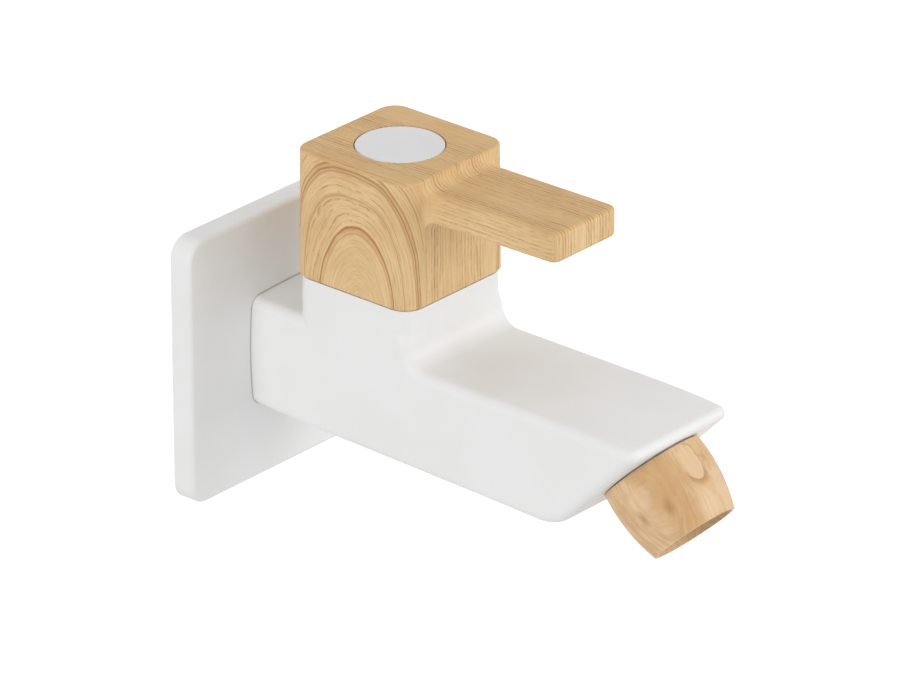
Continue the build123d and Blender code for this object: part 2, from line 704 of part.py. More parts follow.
def nozzle_shell():
    """Barrel-shaped nozzle, screwed over the spigot, with a lip that holds the aerator."""
    outside = ThreePointArc(
        (NOZZLE_BASE_R, 0, NOZZLE_GAP),
        (NOZZLE_WAIST_R, 0, NOZZLE_WAIST),
        (NOZZLE_END_R, 0, NOZZLE_LENGTH),
    )
    cup_r = AERATOR_R + RUN_GAP / 2
    inside = Polyline(
        (NOZZLE_END_R, 0, NOZZLE_LENGTH),
        (NOZZLE_END_R - NOZZLE_RIM, 0, NOZZLE_LENGTH),
        (NOZZLE_LIP_R, 0, AERATOR_SEAT + NOZZLE_LIP),
        (NOZZLE_LIP_R, 0, AERATOR_SEAT),
        (cup_r, 0, AERATOR_SEAT),
        (cup_r, 0, SPIGOT_LENGTH + NOZZLE_THREAD_R - cup_r),
        (NOZZLE_THREAD_R, 0, SPIGOT_LENGTH),
        (NOZZLE_THREAD_R, 0, NOZZLE_GAP + SPIGOT_CHAMFER),
        (NOZZLE_THREAD_R + SPIGOT_CHAMFER, 0, NOZZLE_GAP),
        (NOZZLE_BASE_R, 0, NOZZLE_GAP),
    )
    return MOUTH * revolve(make_face([outside, *inside.edges()]), Axis.Z)


def nozzle_gasket():
    """Flat washer between the spigot's end and the aerator."""
    return MOUTH * ring(AERATOR_R, SPIGOT_BORE_R + 2 * RUN_GAP, SPIGOT_LENGTH, AERATOR_TOP)


def aerator_housing():
    """Aerator cup with a step for the flow disc and a spoked outlet grid."""
    floor = AERATOR_SEAT - GRID_DEPTH
    recess_r = FLOW_DISC_R + RUN_GAP / 2
    cup = turned(
        [
            (AERATOR_R, AERATOR_TOP),
            (AERATOR_R, AERATOR_SEAT),
            (SCREEN_R, AERATOR_SEAT),
            (SCREEN_R, FLOW_DISC_BOTTOM),
            (recess_r, FLOW_DISC_BOTTOM),
            (recess_r, AERATOR_TOP),
        ]
    )
    for radius in GRID_RINGS:
        cup += ring(radius + GRID_BAR / 2, radius - GRID_BAR / 2, floor, AERATOR_SEAT)
    start = GRID_RINGS[0]
    reach = SCREEN_R + GRID_BAR / 2 - start
    spoke = Pos(0, 0, floor + GRID_DEPTH / 2) * Box(reach, GRID_BAR, GRID_DEPTH)
    for place in PolarLocations(start + reach / 2, GRID_SPOKES):
        cup += place * spoke
    return MOUTH * cup


def aerator_flow_disc():
    """Perforated disc that breaks the stream into jets."""
    top = FLOW_DISC_BOTTOM - FLOW_DISC_THICKNESS
    plate = Circle(FLOW_DISC_R)
    for radius, count in JET_RINGS:
        plate -= PolarLocations(radius, count) * Circle(JET_R)
    return MOUTH * Pos(0, 0, top) * extrude(plate, amount=FLOW_DISC_THICKNESS)


def aerator_screens():
    """Two wire screens stacked on the outlet grid, as plain thin discs."""
    low = AERATOR_SEAT - GRID_DEPTH
    screens = Part()
    for _ in range(2):
        low -= SCREEN_THICKNESS
        screens += disc(SCREEN_R - RUN_GAP / 2, low, low + SCREEN_THICKNESS)
        low -= RUN_GAP / 2
    return MOUTH * screens


PIECES = (
    wall_flange,
    flange_grip_ring,
    inlet_nipple,
    main_body,
    headwork_housing,
    headwork_o_ring,
    base_seal,
    seal_support_ring,
    fixed_disc,
    moving_disc,
    spindle,
    spindle_o_rings,
    thrust_washer,
    retaining_clip,
    handle,
    handle_insert,
    handle_screw,
    screw_cap,
    nozzle_gasket,
    nozzle_shell,
    aerator_housing,
    aerator_flow_disc,
    aerator_screens,
)


os.makedirs("parts", exist_ok=True)
for piece in PIECES:
    shape = piece()
    export_step(shape, f"parts/{piece.__name__}.step")
    print(piece.__name__, len(shape.solids()), "solid(s),", round(shape.volume), "mm3")
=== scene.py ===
# %% [markdown]
# # A wall-mounted bib tap
#
# The real tap is a white moulded body on a white wall flange. Its cube handle with the
# flat lever, and the nozzle at the slanted mouth, are plastic under a film printed like
# pale wood. A white disc hides the handle's screw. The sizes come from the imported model,
# so this script only adds finishes, a few fine pieces, light and a camera.

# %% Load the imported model
import json
import math

import bmesh
import bpy
from mathutils import Matrix, Vector


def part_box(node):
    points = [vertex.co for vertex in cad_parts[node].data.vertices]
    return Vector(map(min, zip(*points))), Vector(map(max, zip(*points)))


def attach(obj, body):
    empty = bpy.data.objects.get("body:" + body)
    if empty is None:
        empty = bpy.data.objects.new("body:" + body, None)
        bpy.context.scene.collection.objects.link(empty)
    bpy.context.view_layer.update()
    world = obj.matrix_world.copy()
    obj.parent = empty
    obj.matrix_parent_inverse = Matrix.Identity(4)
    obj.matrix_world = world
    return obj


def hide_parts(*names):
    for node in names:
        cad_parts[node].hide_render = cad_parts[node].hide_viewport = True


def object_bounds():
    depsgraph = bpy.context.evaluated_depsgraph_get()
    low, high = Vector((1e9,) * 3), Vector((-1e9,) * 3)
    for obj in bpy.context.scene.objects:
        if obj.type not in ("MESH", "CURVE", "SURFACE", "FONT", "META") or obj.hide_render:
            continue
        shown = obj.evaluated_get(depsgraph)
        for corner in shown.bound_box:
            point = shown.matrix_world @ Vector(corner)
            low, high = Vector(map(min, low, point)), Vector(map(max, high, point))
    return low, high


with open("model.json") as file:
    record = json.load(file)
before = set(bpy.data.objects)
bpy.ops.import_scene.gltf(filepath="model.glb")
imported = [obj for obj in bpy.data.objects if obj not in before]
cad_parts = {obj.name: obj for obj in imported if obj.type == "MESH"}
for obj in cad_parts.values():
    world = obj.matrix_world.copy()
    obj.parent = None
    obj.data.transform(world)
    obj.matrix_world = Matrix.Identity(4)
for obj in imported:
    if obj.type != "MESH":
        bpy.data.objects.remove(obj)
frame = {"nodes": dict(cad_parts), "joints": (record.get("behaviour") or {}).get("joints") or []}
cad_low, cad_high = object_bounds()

MM = 0.001
print("the model's box in mm:", [round(side / MM, 1) for side in cad_high - cad_low])

# %% [markdown]
# ## Places on the tap
#
# Two axes carry most of the work: the valve's, which the handle turns about, and the
# nozzle's. The first is the joint's own, and the second runs through the middle of the
# nozzle's box, so both follow the model. The nozzle leans forward and down by 45 degrees.

# %% Work out the valve axis and the nozzle's axis
VALVE_Y = frame["joints"][0]["pos_m"][1]
nozzle_low, nozzle_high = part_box("nozzle_shell")
nozzle_centre = (nozzle_low + nozzle_high) / 2
NOZZLE_LEAN = math.radians(45)
NOZZLE_AXIS = Vector((0, -1, -1)).normalized()
print("valve axis y:", round(VALVE_Y / MM, 2))
print("nozzle centre:", [round(part / MM, 1) for part in nozzle_centre])

# %% [markdown]
# ## Small helpers for shader nodes
#
# A shader tree is a chain of small sums. `put` adds a node and fills or links its inputs,
# `calc` is one sum, and `ramp` turns a stretch of values into a smooth step from 0 to 1.

# %% Sums and vectors
def put(tree, kind, inputs=None, **settings):
    """Adds a node, sets its properties, then fills its inputs or links them."""
    node = tree.nodes.new(kind)
    for name, value in settings.items():
        setattr(node, name, value)
    for socket, value in (inputs or {}).items():
        if isinstance(value, bpy.types.NodeSocket):
            tree.links.new(value, node.inputs[socket])
        else:
            node.inputs[socket].default_value = value
    return node


def calc(tree, operation, first, second=0.0, third=0.0):
    """One sum of up to three values."""
    inputs = {0: first, 1: second, 2: third}
    return put(tree, "ShaderNodeMath", inputs, operation=operation).outputs[0]


def times(tree, first, *others):
    """Product of two or more values."""
    for other in others:
        first = calc(tree, "MULTIPLY", first, other)
    return first


def minus(tree, first, second):
    """The first value less the second."""
    return calc(tree, "SUBTRACT", first, second)


def scaled(tree, value, by, plus):
    """A value times one number, plus another."""
    return calc(tree, "MULTIPLY_ADD", value, by, plus)


def largest(tree, first, *others):
    """The largest of two or more values."""
    for other in others:
        first = calc(tree, "MAXIMUM", first, other)
    return first


def ramp(tree, value, low, high):
    """Smooth step: 0 at low, 1 at high. Low may be the larger."""
    inputs = {"Value": value, "From Min": low, "From Max": high}
    node = put(tree, "ShaderNodeMapRange", inputs, interpolation_type="SMOOTHSTEP")
    return node.outputs["Result"]


def vector(tree, x, y, z):
    """Vector from three values."""
    return put(tree, "ShaderNodeCombineXYZ", {0: x, 1: y, 2: z}).outputs[0]


def split(tree, place):
    """The three values of a vector."""
    return put(tree, "ShaderNodeSeparateXYZ", {0: place}).outputs


def vector_calc(tree, operation, first, second):
    """One sum of two vectors."""
    return put(tree, "ShaderNodeVectorMath", {0: first, 1: second}, operation=operation).outputs[0]


def length(tree, first):
    """Length of a vector."""
    node = put(tree, "ShaderNodeVectorMath", {0: first}, operation="LENGTH")
    return node.outputs["Value"]


def mix(tree, share, first, second):
    """Value between two values."""
    return put(tree, "ShaderNodeMix", {0: share, 2: first, 3: second}).outputs[0]


def noise(tree, place, scale, detail=2.0, roughness=0.5):
    """Cloudy values about 0.5."""
    inputs = {"Vector": place, "Scale": scale, "Detail": detail, "Roughness": roughness}
    return put(tree, "ShaderNodeTexNoise", inputs).outputs[0]


print("sums are ready")

# %% [markdown]
# Colours are written as screen values of 0 to 255, and `paint` turns them into the linear
# ones that light needs. Every finish works in the object's own millimetres.

# %% Colours and finishes
def paint(red, green, blue):
    """Linear colour from screen values of 0 to 255."""
    linear = []
    for value in (red, green, blue):
        share = value / 255
        linear.append(share / 12.92 if share < 0.04045 else ((share + 0.055) / 1.055) ** 2.4)
    return (*linear, 1.0)


def blend(tree, share, first, second):
    """Colour between two colours."""
    node = put(tree, "ShaderNodeMix", {0: share, 6: first, 7: second}, data_type="RGBA")
    return node.outputs[2]


def new_finish(name):
    """Empty material with its surface shader, and the object's place in millimetres."""
    material = bpy.data.materials.new(name)
    material.use_nodes = True
    tree = material.node_tree
    tree.nodes.clear()
    surface = put(tree, "ShaderNodeBsdfPrincipled")
    put(tree, "ShaderNodeOutputMaterial", {"Surface": surface.outputs[0]})
    place = put(tree, "ShaderNodeTexCoord").outputs["Object"]
    place = put(tree, "ShaderNodeVectorMath", {0: place, "Scale": 1 / MM}, operation="SCALE")
    return material, tree, surface, place.outputs[0]


def vary_roughness(tree, surface, value, middle, swing):
    """Roughness that drifts about a middle with a value of 0 to 1."""
    rough = scaled(tree, value, swing, middle - swing / 2)
    tree.links.new(rough, surface.inputs["Roughness"])


print("white at 243 is", round(paint(243, 243, 243)[0], 3), "in linear light")

# %% [markdown]
# ## Moulded relief
#
# Every moulded plastic piece has a faint, cloudy relief where the melt has sunk a little
# as it cooled, and a finer one from the mould's blasted wall. An image of a texture would
# show its tiles on a piece this plain, and noises have no seams. Several finishes share
# them, so they are a group with named sockets.

# %% Moulded relief group
CLOUD_SCALE = 0.05
CLOUD_LIMITS = (0.35, 0.65)
VALUE = "NodeSocketFloat"
VECTOR = "NodeSocketVector"


def new_group(name, inputs, outputs):
    """Empty shader group with its input and output sockets."""
    group = bpy.data.node_groups.new(name, "ShaderNodeTree")
    for socket, kind, value in inputs:
        made = group.interface.new_socket(socket, in_out="INPUT", socket_type=kind)
        if value is not None:
            made.default_value = value
    for socket in outputs:
        group.interface.new_socket(socket, in_out="OUTPUT", socket_type=VALUE)
    entry = group.nodes.new("NodeGroupInput")
    leave = group.nodes.new("NodeGroupOutput")
    return group, entry.outputs, leave.inputs


def use_group(tree, group, inputs):
    """Places a group in a material."""
    return put(tree, "ShaderNodeGroup", inputs, node_tree=group).outputs


def moulded_relief():
    """Group with the height of the relief and a cloudy mask."""
    group, entry, leave = new_group(
        "moulded_relief",
        [
            ("Place", VECTOR, None),
            ("Peel size", VALUE, 2.2),
            ("Grit size", VALUE, 0.25),
            ("Grit", VALUE, 0.3),
        ],
        ["Height", "Cloud"],
    )
    peel = noise(group, entry["Place"], calc(group, "DIVIDE", 1.0, entry["Peel size"]), 1.0)
    grit = noise(group, entry["Place"], calc(group, "DIVIDE", 1.0, entry["Grit size"]))
    cloud = noise(group, entry["Place"], CLOUD_SCALE)
    group.links.new(scaled(group, grit, entry["Grit"], peel), leave["Height"])
    group.links.new(cloud, leave["Cloud"])
    return group


def bump(tree, surface, height, strength, depth):
    """Bump from a height, with the depth of its full swing in millimetres."""
    inputs = {"Height": height, "Strength": strength, "Distance": depth * MM}
    tree.links.new(put(tree, "ShaderNodeBump", inputs).outputs[0], surface.inputs["Normal"])


RELIEF = moulded_relief()
print("group:", RELIEF.name)

# %% [markdown]
# ## White plastic
#
# The body and the flange are white ABS with a satin face. A pure white would clip under
# any lamp, so the colour stays a little below it. The sheen comes from a middling
# roughness that the cloud shifts by a few hundredths, as on a real moulding. The screw cap
# is a shade greyer and duller.

# %% White plastic finish
WHITE = paint(243, 243, 243)
WHITE_CLOUD = paint(241, 241, 240)
CAP_GREY = paint(237, 237, 237)
CAP_CLOUD = paint(234, 234, 235)
WHITE_ROUGHNESS = 0.42
WHITE_SPECULAR = 0.3
CAP_ROUGHNESS = 0.5
CAP_SPECULAR = 0.08
WHITE_SWING = 0.08
WHITE_BUMP = {"strength": 0.25, "depth": 0.012}


def white_plastic(name, colour, cloud_colour, roughness, specular, darken=None):
    """Satin white moulding, with shade painted into its colour where a function says so."""
    material, tree, surface, place = new_finish(name)
    relief = use_group(tree, RELIEF, {"Place": place})
    tint = blend(tree, ramp(tree, relief["Cloud"], *CLOUD_LIMITS), colour, cloud_colour)
    if darken:
        tint = blend(tree, darken(tree, place), tint, PAINTED_SHADE_GREY)
    tree.links.new(tint, surface.inputs["Base Color"])
    vary_roughness(tree, surface, relief["Cloud"], roughness, WHITE_SWING)
    surface.inputs["Specular IOR Level"].default_value = specular
    bump(tree, surface, relief["Height"], **WHITE_BUMP)
    return material


BODY_WHITE = white_plastic("white_plastic", WHITE, WHITE_CLOUD, WHITE_ROUGHNESS, WHITE_SPECULAR)
CAP_WHITE = white_plastic("cap_plastic", CAP_GREY, CAP_CLOUD, CAP_ROUGHNESS, CAP_SPECULAR)
print("finishes:", BODY_WHITE.name, CAP_WHITE.name)

# %% [markdown]
# The body's foot stands on the flange with a hair of a gap, which lies in shadow.
# The gap is too thin to model, so its shadow is painted into the flange's colour beside the
# foot. The foot is a rounded rectangle with slightly bowed sides, and the distance to it is a short
# sum.

# %% Painted shade round the foot
# Grey of the shadow painted into the hairline gap beside the foot.
PAINTED_SHADE_GREY = paint(198, 198, 195)
FOOT_CENTRE_Z = -0.75
FOOT_HALF_X = 19.45
FOOT_HALF_Z = 15.85
FOOT_BOW = 0.8
FOOT_CORNER = 2.8
PAINTED_SHADE_WIDTH = 0.35
FACE_LIMITS = (-6.0, -6.4)


def past_core(tree, this, other, half, other_half):
    """How far a place lies past the foot's straight core."""
    bow = calc(tree, "POWER", calc(tree, "DIVIDE", other, other_half - FOOT_BOW), 2.0)
    side = scaled(tree, bow, FOOT_BOW, this)
    return minus(tree, side, half - FOOT_CORNER)


def painted_foot_shade(tree, place):
    """Painted shade: 1 beside the body's foot on the flange, 0 further out."""
    parts = split(tree, place)
    side_x = calc(tree, "ABSOLUTE", parts["X"])
    side_z = calc(tree, "ABSOLUTE", minus(tree, parts["Z"], FOOT_CENTRE_Z))
    past_x = past_core(tree, side_x, side_z, FOOT_HALF_X, FOOT_HALF_Z)
    past_z = past_core(tree, side_z, side_x, FOOT_HALF_Z, FOOT_HALF_X)
    outside = vector(tree, largest(tree, past_x, 0.0), largest(tree, past_z, 0.0), 0.0)
    inside = calc(tree, "MINIMUM", largest(tree, past_x, past_z), 0.0)
    gap = minus(tree, calc(tree, "ADD", length(tree, outside), inside), FOOT_CORNER)
    on_face = ramp(tree, parts["Y"], *FACE_LIMITS)
    return times(tree, ramp(tree, gap, 2 * PAINTED_SHADE_WIDTH, PAINTED_SHADE_WIDTH), on_face)


# The flange's white carries the painted shade beside the body's foot.
FLANGE_WHITE = white_plastic(
    "flange_plastic_painted_shade", WHITE, WHITE_CLOUD, WHITE_ROUGHNESS, WHITE_SPECULAR, painted_foot_shade
)
print("finish:", FLANGE_WHITE.name)

# %% [markdown]
# ## Wood-look film: lines
#
# The film is printed with the lines of a sawn softwood. One group draws a family of
# growth rings from a single number that rises by one from ring to ring. Each ring gets
# its own strength by chance, darkens slowly and ends sharply, as late wood does. Noise
# drawn out along the grain breaks the lines into dashes, bends them and adds pores.

# %% One family of lines
BROAD_LINES = {"sharpness": 2.2, "weakest": 0.55}
FINE_LINES = {"sharpness": 2.0, "weakest": 0.55}
BASE_POWER = 3.0
LINE_END = 0.95
DASHES = {"stretch": 0.2, "scale": 1.6, "detail": 2.0}
DASH_LAYER = 0.37
GAP_LIMITS = (0.56, 0.44)


def grain_noise(group, along, across, stretch, layer, scale, detail, roughness=0.5):
    """Noise drawn out along the grain."""
    place = vector(group, times(group, along, stretch), across, layer)
    return noise(group, place, scale, detail, roughness)


def line_family(group, rings, along, across, gap_share, sharpness, weakest):
    """Dark ends of the rings, each with its own strength, broken into dashes."""
    whole = calc(group, "FLOOR", rings)
    part = calc(group, "FRACT", rings)
    dice = put(group, "ShaderNodeTexWhiteNoise", {"W": whole}, noise_dimensions="1D")
    chance = dice.outputs["Value"]
    power = scaled(group, chance, -sharpness, 2 * sharpness + BASE_POWER)
    line = times(group, calc(group, "POWER", part, power), ramp(group, part, 1.0, LINE_END))
    line = times(group, line, scaled(group, chance, 1.0 - weakest, weakest))
    dash = grain_noise(group, along, across, layer=times(group, whole, DASH_LAYER), **DASHES)
    gaps = times(group, ramp(group, dash, *GAP_LIMITS), gap_share)
    return times(group, line, minus(group, 1.0, gaps))


print("the weakest lines keep", FINE_LINES["weakest"], "of their strength")

# %% [markdown]
# The group adds a finer family and pores, and its other output is a mask of streaks.

# %% Film line group
WAVER = {"stretch": 0.22, "layer": 9.0, "scale": 0.8, "detail": 3.0, "roughness": 0.6}
STREAKS = {"stretch": 0.05, "layer": 3.0, "scale": 1.9, "detail": 4.0, "roughness": 0.62}
PORES = {"stretch": 0.35, "layer": 7.0, "scale": 1.0, "detail": 1.0}
PORE_NARROW = 4.5
PORE_LIMITS = (0.6, 0.7)
PORE_SHARE = 0.2
FINE_PER_BROAD = 2.43
FINE_SHIFT = 0.4
FINE_SHARE = 0.38


def film_lines():
    """Group from rings and the place in the grain to lines and streaks."""
    group, entry, leave = new_group(
        "film_lines",
        [
            ("Rings", VALUE, 0.0),
            ("Along", VALUE, 0.0),
            ("Across", VALUE, 0.0),
            ("Break", VALUE, 0.8),
            ("Waver", VALUE, 0.7),
        ],
        ["Lines", "Streaks"],
    )
    along, across = entry["Along"], entry["Across"]
    waver = minus(group, grain_noise(group, along, across, **WAVER), 0.5)
    rings = scaled(group, waver, entry["Waver"], entry["Rings"])
    fine_rings = scaled(group, rings, FINE_PER_BROAD, FINE_SHIFT)
    broad = line_family(group, rings, along, across, entry["Break"], **BROAD_LINES)
    fine = line_family(group, fine_rings, along, across, entry["Break"], **FINE_LINES)
    lines = scaled(group, fine, FINE_SHARE, broad)
    pores = grain_noise(group, along, times(group, across, PORE_NARROW), **PORES)
    lines = scaled(group, ramp(group, pores, *PORE_LIMITS), PORE_SHARE, lines)
    group.links.new(lines, leave["Lines"])
    group.links.new(grain_noise(group, along, across, **STREAKS), leave["Streaks"])
    return group


def film(tree, rings, along, across, **changes):
    """Places the line group in a material."""
    return use_group(tree, LINES, {"Rings": rings, "Along": along, "Across": across, **changes})


LINES = film_lines()
print("group:", LINES.name)

# %% [markdown]
# ## Wood-look film on the handle
#
# The print runs three ways. On top and on the lever the lines are straight. Round the
# cube's upright sides the same wood shows as nested arches. On the lever's sides the lines
# follow the lever. Each way has its own ring number, and smooth masks choose between them.

# %% Places on the handle in millimetres
handle_low, handle_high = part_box("handle")
CUBE_HALF = handle_high.x / MM
CUBE_TOP_Z = handle_high.z / MM
CORNER_R = 5.6
FLAT_HALF = CUBE_HALF - CORNER_R
LEVER_SIDE_X = 11.8
LEVER_START_Y = -60.5
LEVER_TOP_Z = 58.6
ROOT_Y = -63.3
ROOT_Z = 49.5
STREAK_LIMITS = (0.3, 0.7)
print("cube half:", round(CUBE_HALF, 2), "top:", round(CUBE_TOP_Z, 2))

# %% [markdown]
# ### Straight lines
#
# Each line stays at one x and its length is y plus z, so it runs over the edges and down
# the lever's root without a break. A slow noise bends the lines, and they come in loose
# clusters. One patch of the top is almost plain.

# %% Straight print
FLAT_SPACING = 1.12
FLAT_STRENGTH = 1.45
BEND = 3.0
CLUSTER_STRETCH = 0.03
CLUSTER_SCALE = 0.33
CLUSTER_LIMITS = (0.4, 0.62)
CLUSTER_LOW = 0.45
CLUSTER_SWING = 1.25
PLAIN_X = 10.5
PLAIN_Y = -58.0


def straight_print(tree, x, y, along, slow):
    """Lines and streaks of the straight print, bent by a slow value."""
    bent_x = scaled(tree, slow, BEND, x)
    rings = calc(tree, "DIVIDE", bent_x, FLAT_SPACING)
    flat = film(tree, rings, along, bent_x, Break=0.6, Waver=0.25)
    plain = times(tree, ramp(tree, x, PLAIN_X, PLAIN_X + 2.0), ramp(tree, y, PLAIN_Y, PLAIN_Y + 5.0))
    place = vector(tree, bent_x, times(tree, along, CLUSTER_STRETCH), 2.0)
    clusters = ramp(tree, noise(tree, place, CLUSTER_SCALE), *CLUSTER_LIMITS)
    clusters = scaled(tree, clusters, CLUSTER_SWING, CLUSTER_LOW)
    share = times(tree, scaled(tree, plain, -0.8, 1.0), clusters)
    return times(tree, flat["Lines"], FLAT_STRENGTH, share), flat["Streaks"]


print("straight lines are", FLAT_SPACING, "mm apart")

# %% [markdown]
# ### Arches round the cube
#
# A board sawn beside the heart shows nested arches that open downward. They wrap round the
# corners, so they are drawn on the way round the cube. A sum of powers makes them blunt.

# %% Way round and arch numbers
def way_round(tree, x, y):
    """Way round the cube from the middle of its side, in millimetres."""
    side_x = calc(tree, "ABSOLUTE", x)
    middle = minus(tree, y, VALVE_Y / MM)
    depth = calc(tree, "ABSOLUTE", middle)
    past_x = largest(tree, minus(tree, side_x, FLAT_HALF), 0.0001)
    past_y = largest(tree, minus(tree, depth, FLAT_HALF), 0.0)
    on_corner = times(tree, calc(tree, "ARCTAN2", past_y, past_x), CORNER_R)
    along_side = calc(tree, "MINIMUM", depth, FLAT_HALF)
    along_face = minus(tree, FLAT_HALF, calc(tree, "MINIMUM", side_x, FLAT_HALF))
    way = calc(tree, "ADD", calc(tree, "ADD", along_side, on_corner), along_face)
    return times(tree, way, calc(tree, "SIGN", middle))


ARCH_FOOT_Z = 22.0
INNER_ARCHES = {"shift": 3.0, "slim": 0.555, "bulge": 1.96}
OUTER_ARCHES = {"shift": 1.3, "slim": 0.53, "bulge": 2.83}
INNER_TO_OUTER = (22.0, 33.0)
ARCH_WARP_SCALE = 0.09
ARCH_WARP = 1.4
ROUND_ARCH = 24.0
ROUND_SHIFT = 2.0
ROUND_SLIM = 1.9


def arch_distance(tree, way, up, shift, slim, bulge):
    """Distance from an arch's foot, with arches as its level lines."""
    sideways = calc(tree, "ABSOLUTE", calc(tree, "DIVIDE", calc(tree, "ADD", way, shift), slim))
    squares = calc(tree, "ADD", calc(tree, "POWER", up, bulge), calc(tree, "POWER", sideways, bulge))
    return calc(tree, "POWER", squares, 1 / bulge)


def arch_number(tree, way, z):
    """Number that rises from arch to arch, and the place round each arch."""
    up = largest(tree, minus(tree, z, ARCH_FOOT_Z), 0.01)
    inner = arch_distance(tree, way, up, **INNER_ARCHES)
    outer = arch_distance(tree, way, up, **OUTER_ARCHES)
    share = ramp(tree, outer, *INNER_TO_OUTER)
    arch = mix(tree, share, inner, outer)
    warp = minus(tree, noise(tree, vector(tree, 0.0, way, z), ARCH_WARP_SCALE), 0.5)
    arch = scaled(tree, warp, ARCH_WARP, arch)
    sideways = times(tree, calc(tree, "ADD", way, ROUND_SHIFT), ROUND_SLIM)
    return arch, times(tree, calc(tree, "ARCTAN2", up, sideways), ROUND_ARCH)


print("outer arches start at number", INNER_TO_OUTER[0])

# %% [markdown]
# Thin lines follow every arch. Over them lie a few bold ones and two soft bands, each at
# its own arch number. The heart is calm, and the outermost arches crowd together.

# %% Print on the cube's sides
ARCH_SPACING = 1.72
CROWD_LIMITS = (36.0, 48.0)
CROWD_RINGS = 3.5
HEART_LIMITS = (19.0, 25.0)
HEART_LOW = 0.4
HEART_SWING = 0.7
BOLD_LINES = (
    (22.2, 0.4, 0.45),
    (24.0, 0.5, 1.0),
    (31.7, 0.45, 0.6),
    (38.0, 0.5, 0.75),
    (39.0, 0.55, 1.0),
    (40.4, 0.5, 0.8),
    (44.7, 0.5, 0.6),
)
SOFT_BANDS = ((24.0, 2.8, 0.6), (40.4, 2.8, 0.35))
PATCH_SCALE = 0.14
PATCH_LIMITS = (0.4, 0.6)


def thin_line(tree, value, at, width):
    """1 on a line where the value passes a level, 0 beyond its width."""
    away = calc(tree, "ABSOLUTE", minus(tree, value, at))
    return ramp(tree, away, width, width * 0.25)


def soft_band(tree, value, outer, width):
    """Late-wood band: rises up to its outer edge, then stops at once."""
    return times(tree, ramp(tree, value, outer - width, outer), ramp(tree, value, outer + 0.3, outer))


def side_print(tree, way, z):
    """Thin lines, streaks, bold lines and soft bands of the arches."""
    arch, round_arch = arch_number(tree, way, z)
    crowd = times(tree, ramp(tree, arch, *CROWD_LIMITS), CROWD_RINGS)
    rings = calc(tree, "ADD", calc(tree, "DIVIDE", arch, ARCH_SPACING), crowd)
    sides = film(tree, rings, round_arch, arch, Break=0.85)
    calm = scaled(tree, ramp(tree, arch, *HEART_LIMITS), HEART_SWING, HEART_LOW)
    bold = [times(tree, thin_line(tree, arch, at, width), share) for at, width, share in BOLD_LINES]
    soft = [times(tree, soft_band(tree, arch, at, width), share) for at, width, share in SOFT_BANDS]
    patchy = ramp(tree, noise(tree, vector(tree, way, z, 4.0), PATCH_SCALE), *PATCH_LIMITS)
    patchy = scaled(tree, patchy, 0.7, 0.3)
    lines = times(tree, sides["Lines"], calm)
    return lines, sides["Streaks"], largest(tree, *bold), times(tree, largest(tree, *soft), patchy)


print(len(BOLD_LINES), "bold lines and", len(SOFT_BANDS), "soft bands")

# %% [markdown]
# ### Where each way of the print shows
#
# The masks are short steps in x, y and z. The lever's root gets fewer lines, because
# three ways of the print meet there.

# %% Masks on the handle
LEVER_BLEND = 6.0


def masks(tree, side_x, y, z):
    """1 on the cube's sides, on the lever's sides, at the lever's root and on the tops."""
    below_top = ramp(tree, z, CUBE_TOP_Z - 0.3, CUBE_TOP_Z - 0.9)
    on_side = times(tree, ramp(tree, side_x, FLAT_HALF - 3.0, FLAT_HALF + 0.5), below_top)
    past_edge = ramp(tree, side_x, LEVER_SIDE_X - 0.3, LEVER_SIDE_X + 0.3)
    on_lever = times(tree, past_edge, ramp(tree, y, LEVER_START_Y, LEVER_START_Y - LEVER_BLEND))
    near_root = ramp(tree, calc(tree, "ABSOLUTE", minus(tree, y, ROOT_Y)), 3.5, 1.0)
    at_root = times(tree, near_root, ramp(tree, side_x, 11.0, 11.9))
    at_root = times(tree, at_root, ramp(tree, z, ROOT_Z - 1.5, ROOT_Z + 1.0))
    cube_top = ramp(tree, z, CUBE_TOP_Z - 0.9, CUBE_TOP_Z - 0.1)
    lever_top = ramp(tree, z, LEVER_TOP_Z - 0.8, LEVER_TOP_Z)
    lever_top = times(tree, lever_top, ramp(tree, y, ROOT_Y, ROOT_Y - 4.0))
    return on_side, on_lever, at_root, largest(tree, cube_top, lever_top)


print("the lever's side print starts at y", LEVER_START_Y)

# %% [markdown]
# ### The handle's material
#
# The ground drifts between pale colours along the streaks and in slow clouds. The bands
# come over it, then the lines, which also lower the surface a little.

# %% Handle film
PALE = paint(242, 211, 162)
MIDDLE = paint(226, 191, 140)
TAN = paint(212, 171, 118)
TOP_TAN = paint(212, 168, 110)
LINE_BROWN = paint(156, 97, 46)
BAND_BROWN = paint(196, 143, 90)
FILM_SPECULAR = 0.12
FILM_ROUGHNESS = {"middle": 0.45, "swing": 0.1}
FILM_BUMP = {"strength": 0.3, "depth": 0.015}
LINE_DEPTH = 0.6
LEVER_SPACING = 1.1
LEVER_STRENGTH = 1.5
SHARES = {"cloud": 0.4, "top": 0.4, "lines": 0.75, "bold": 0.6}


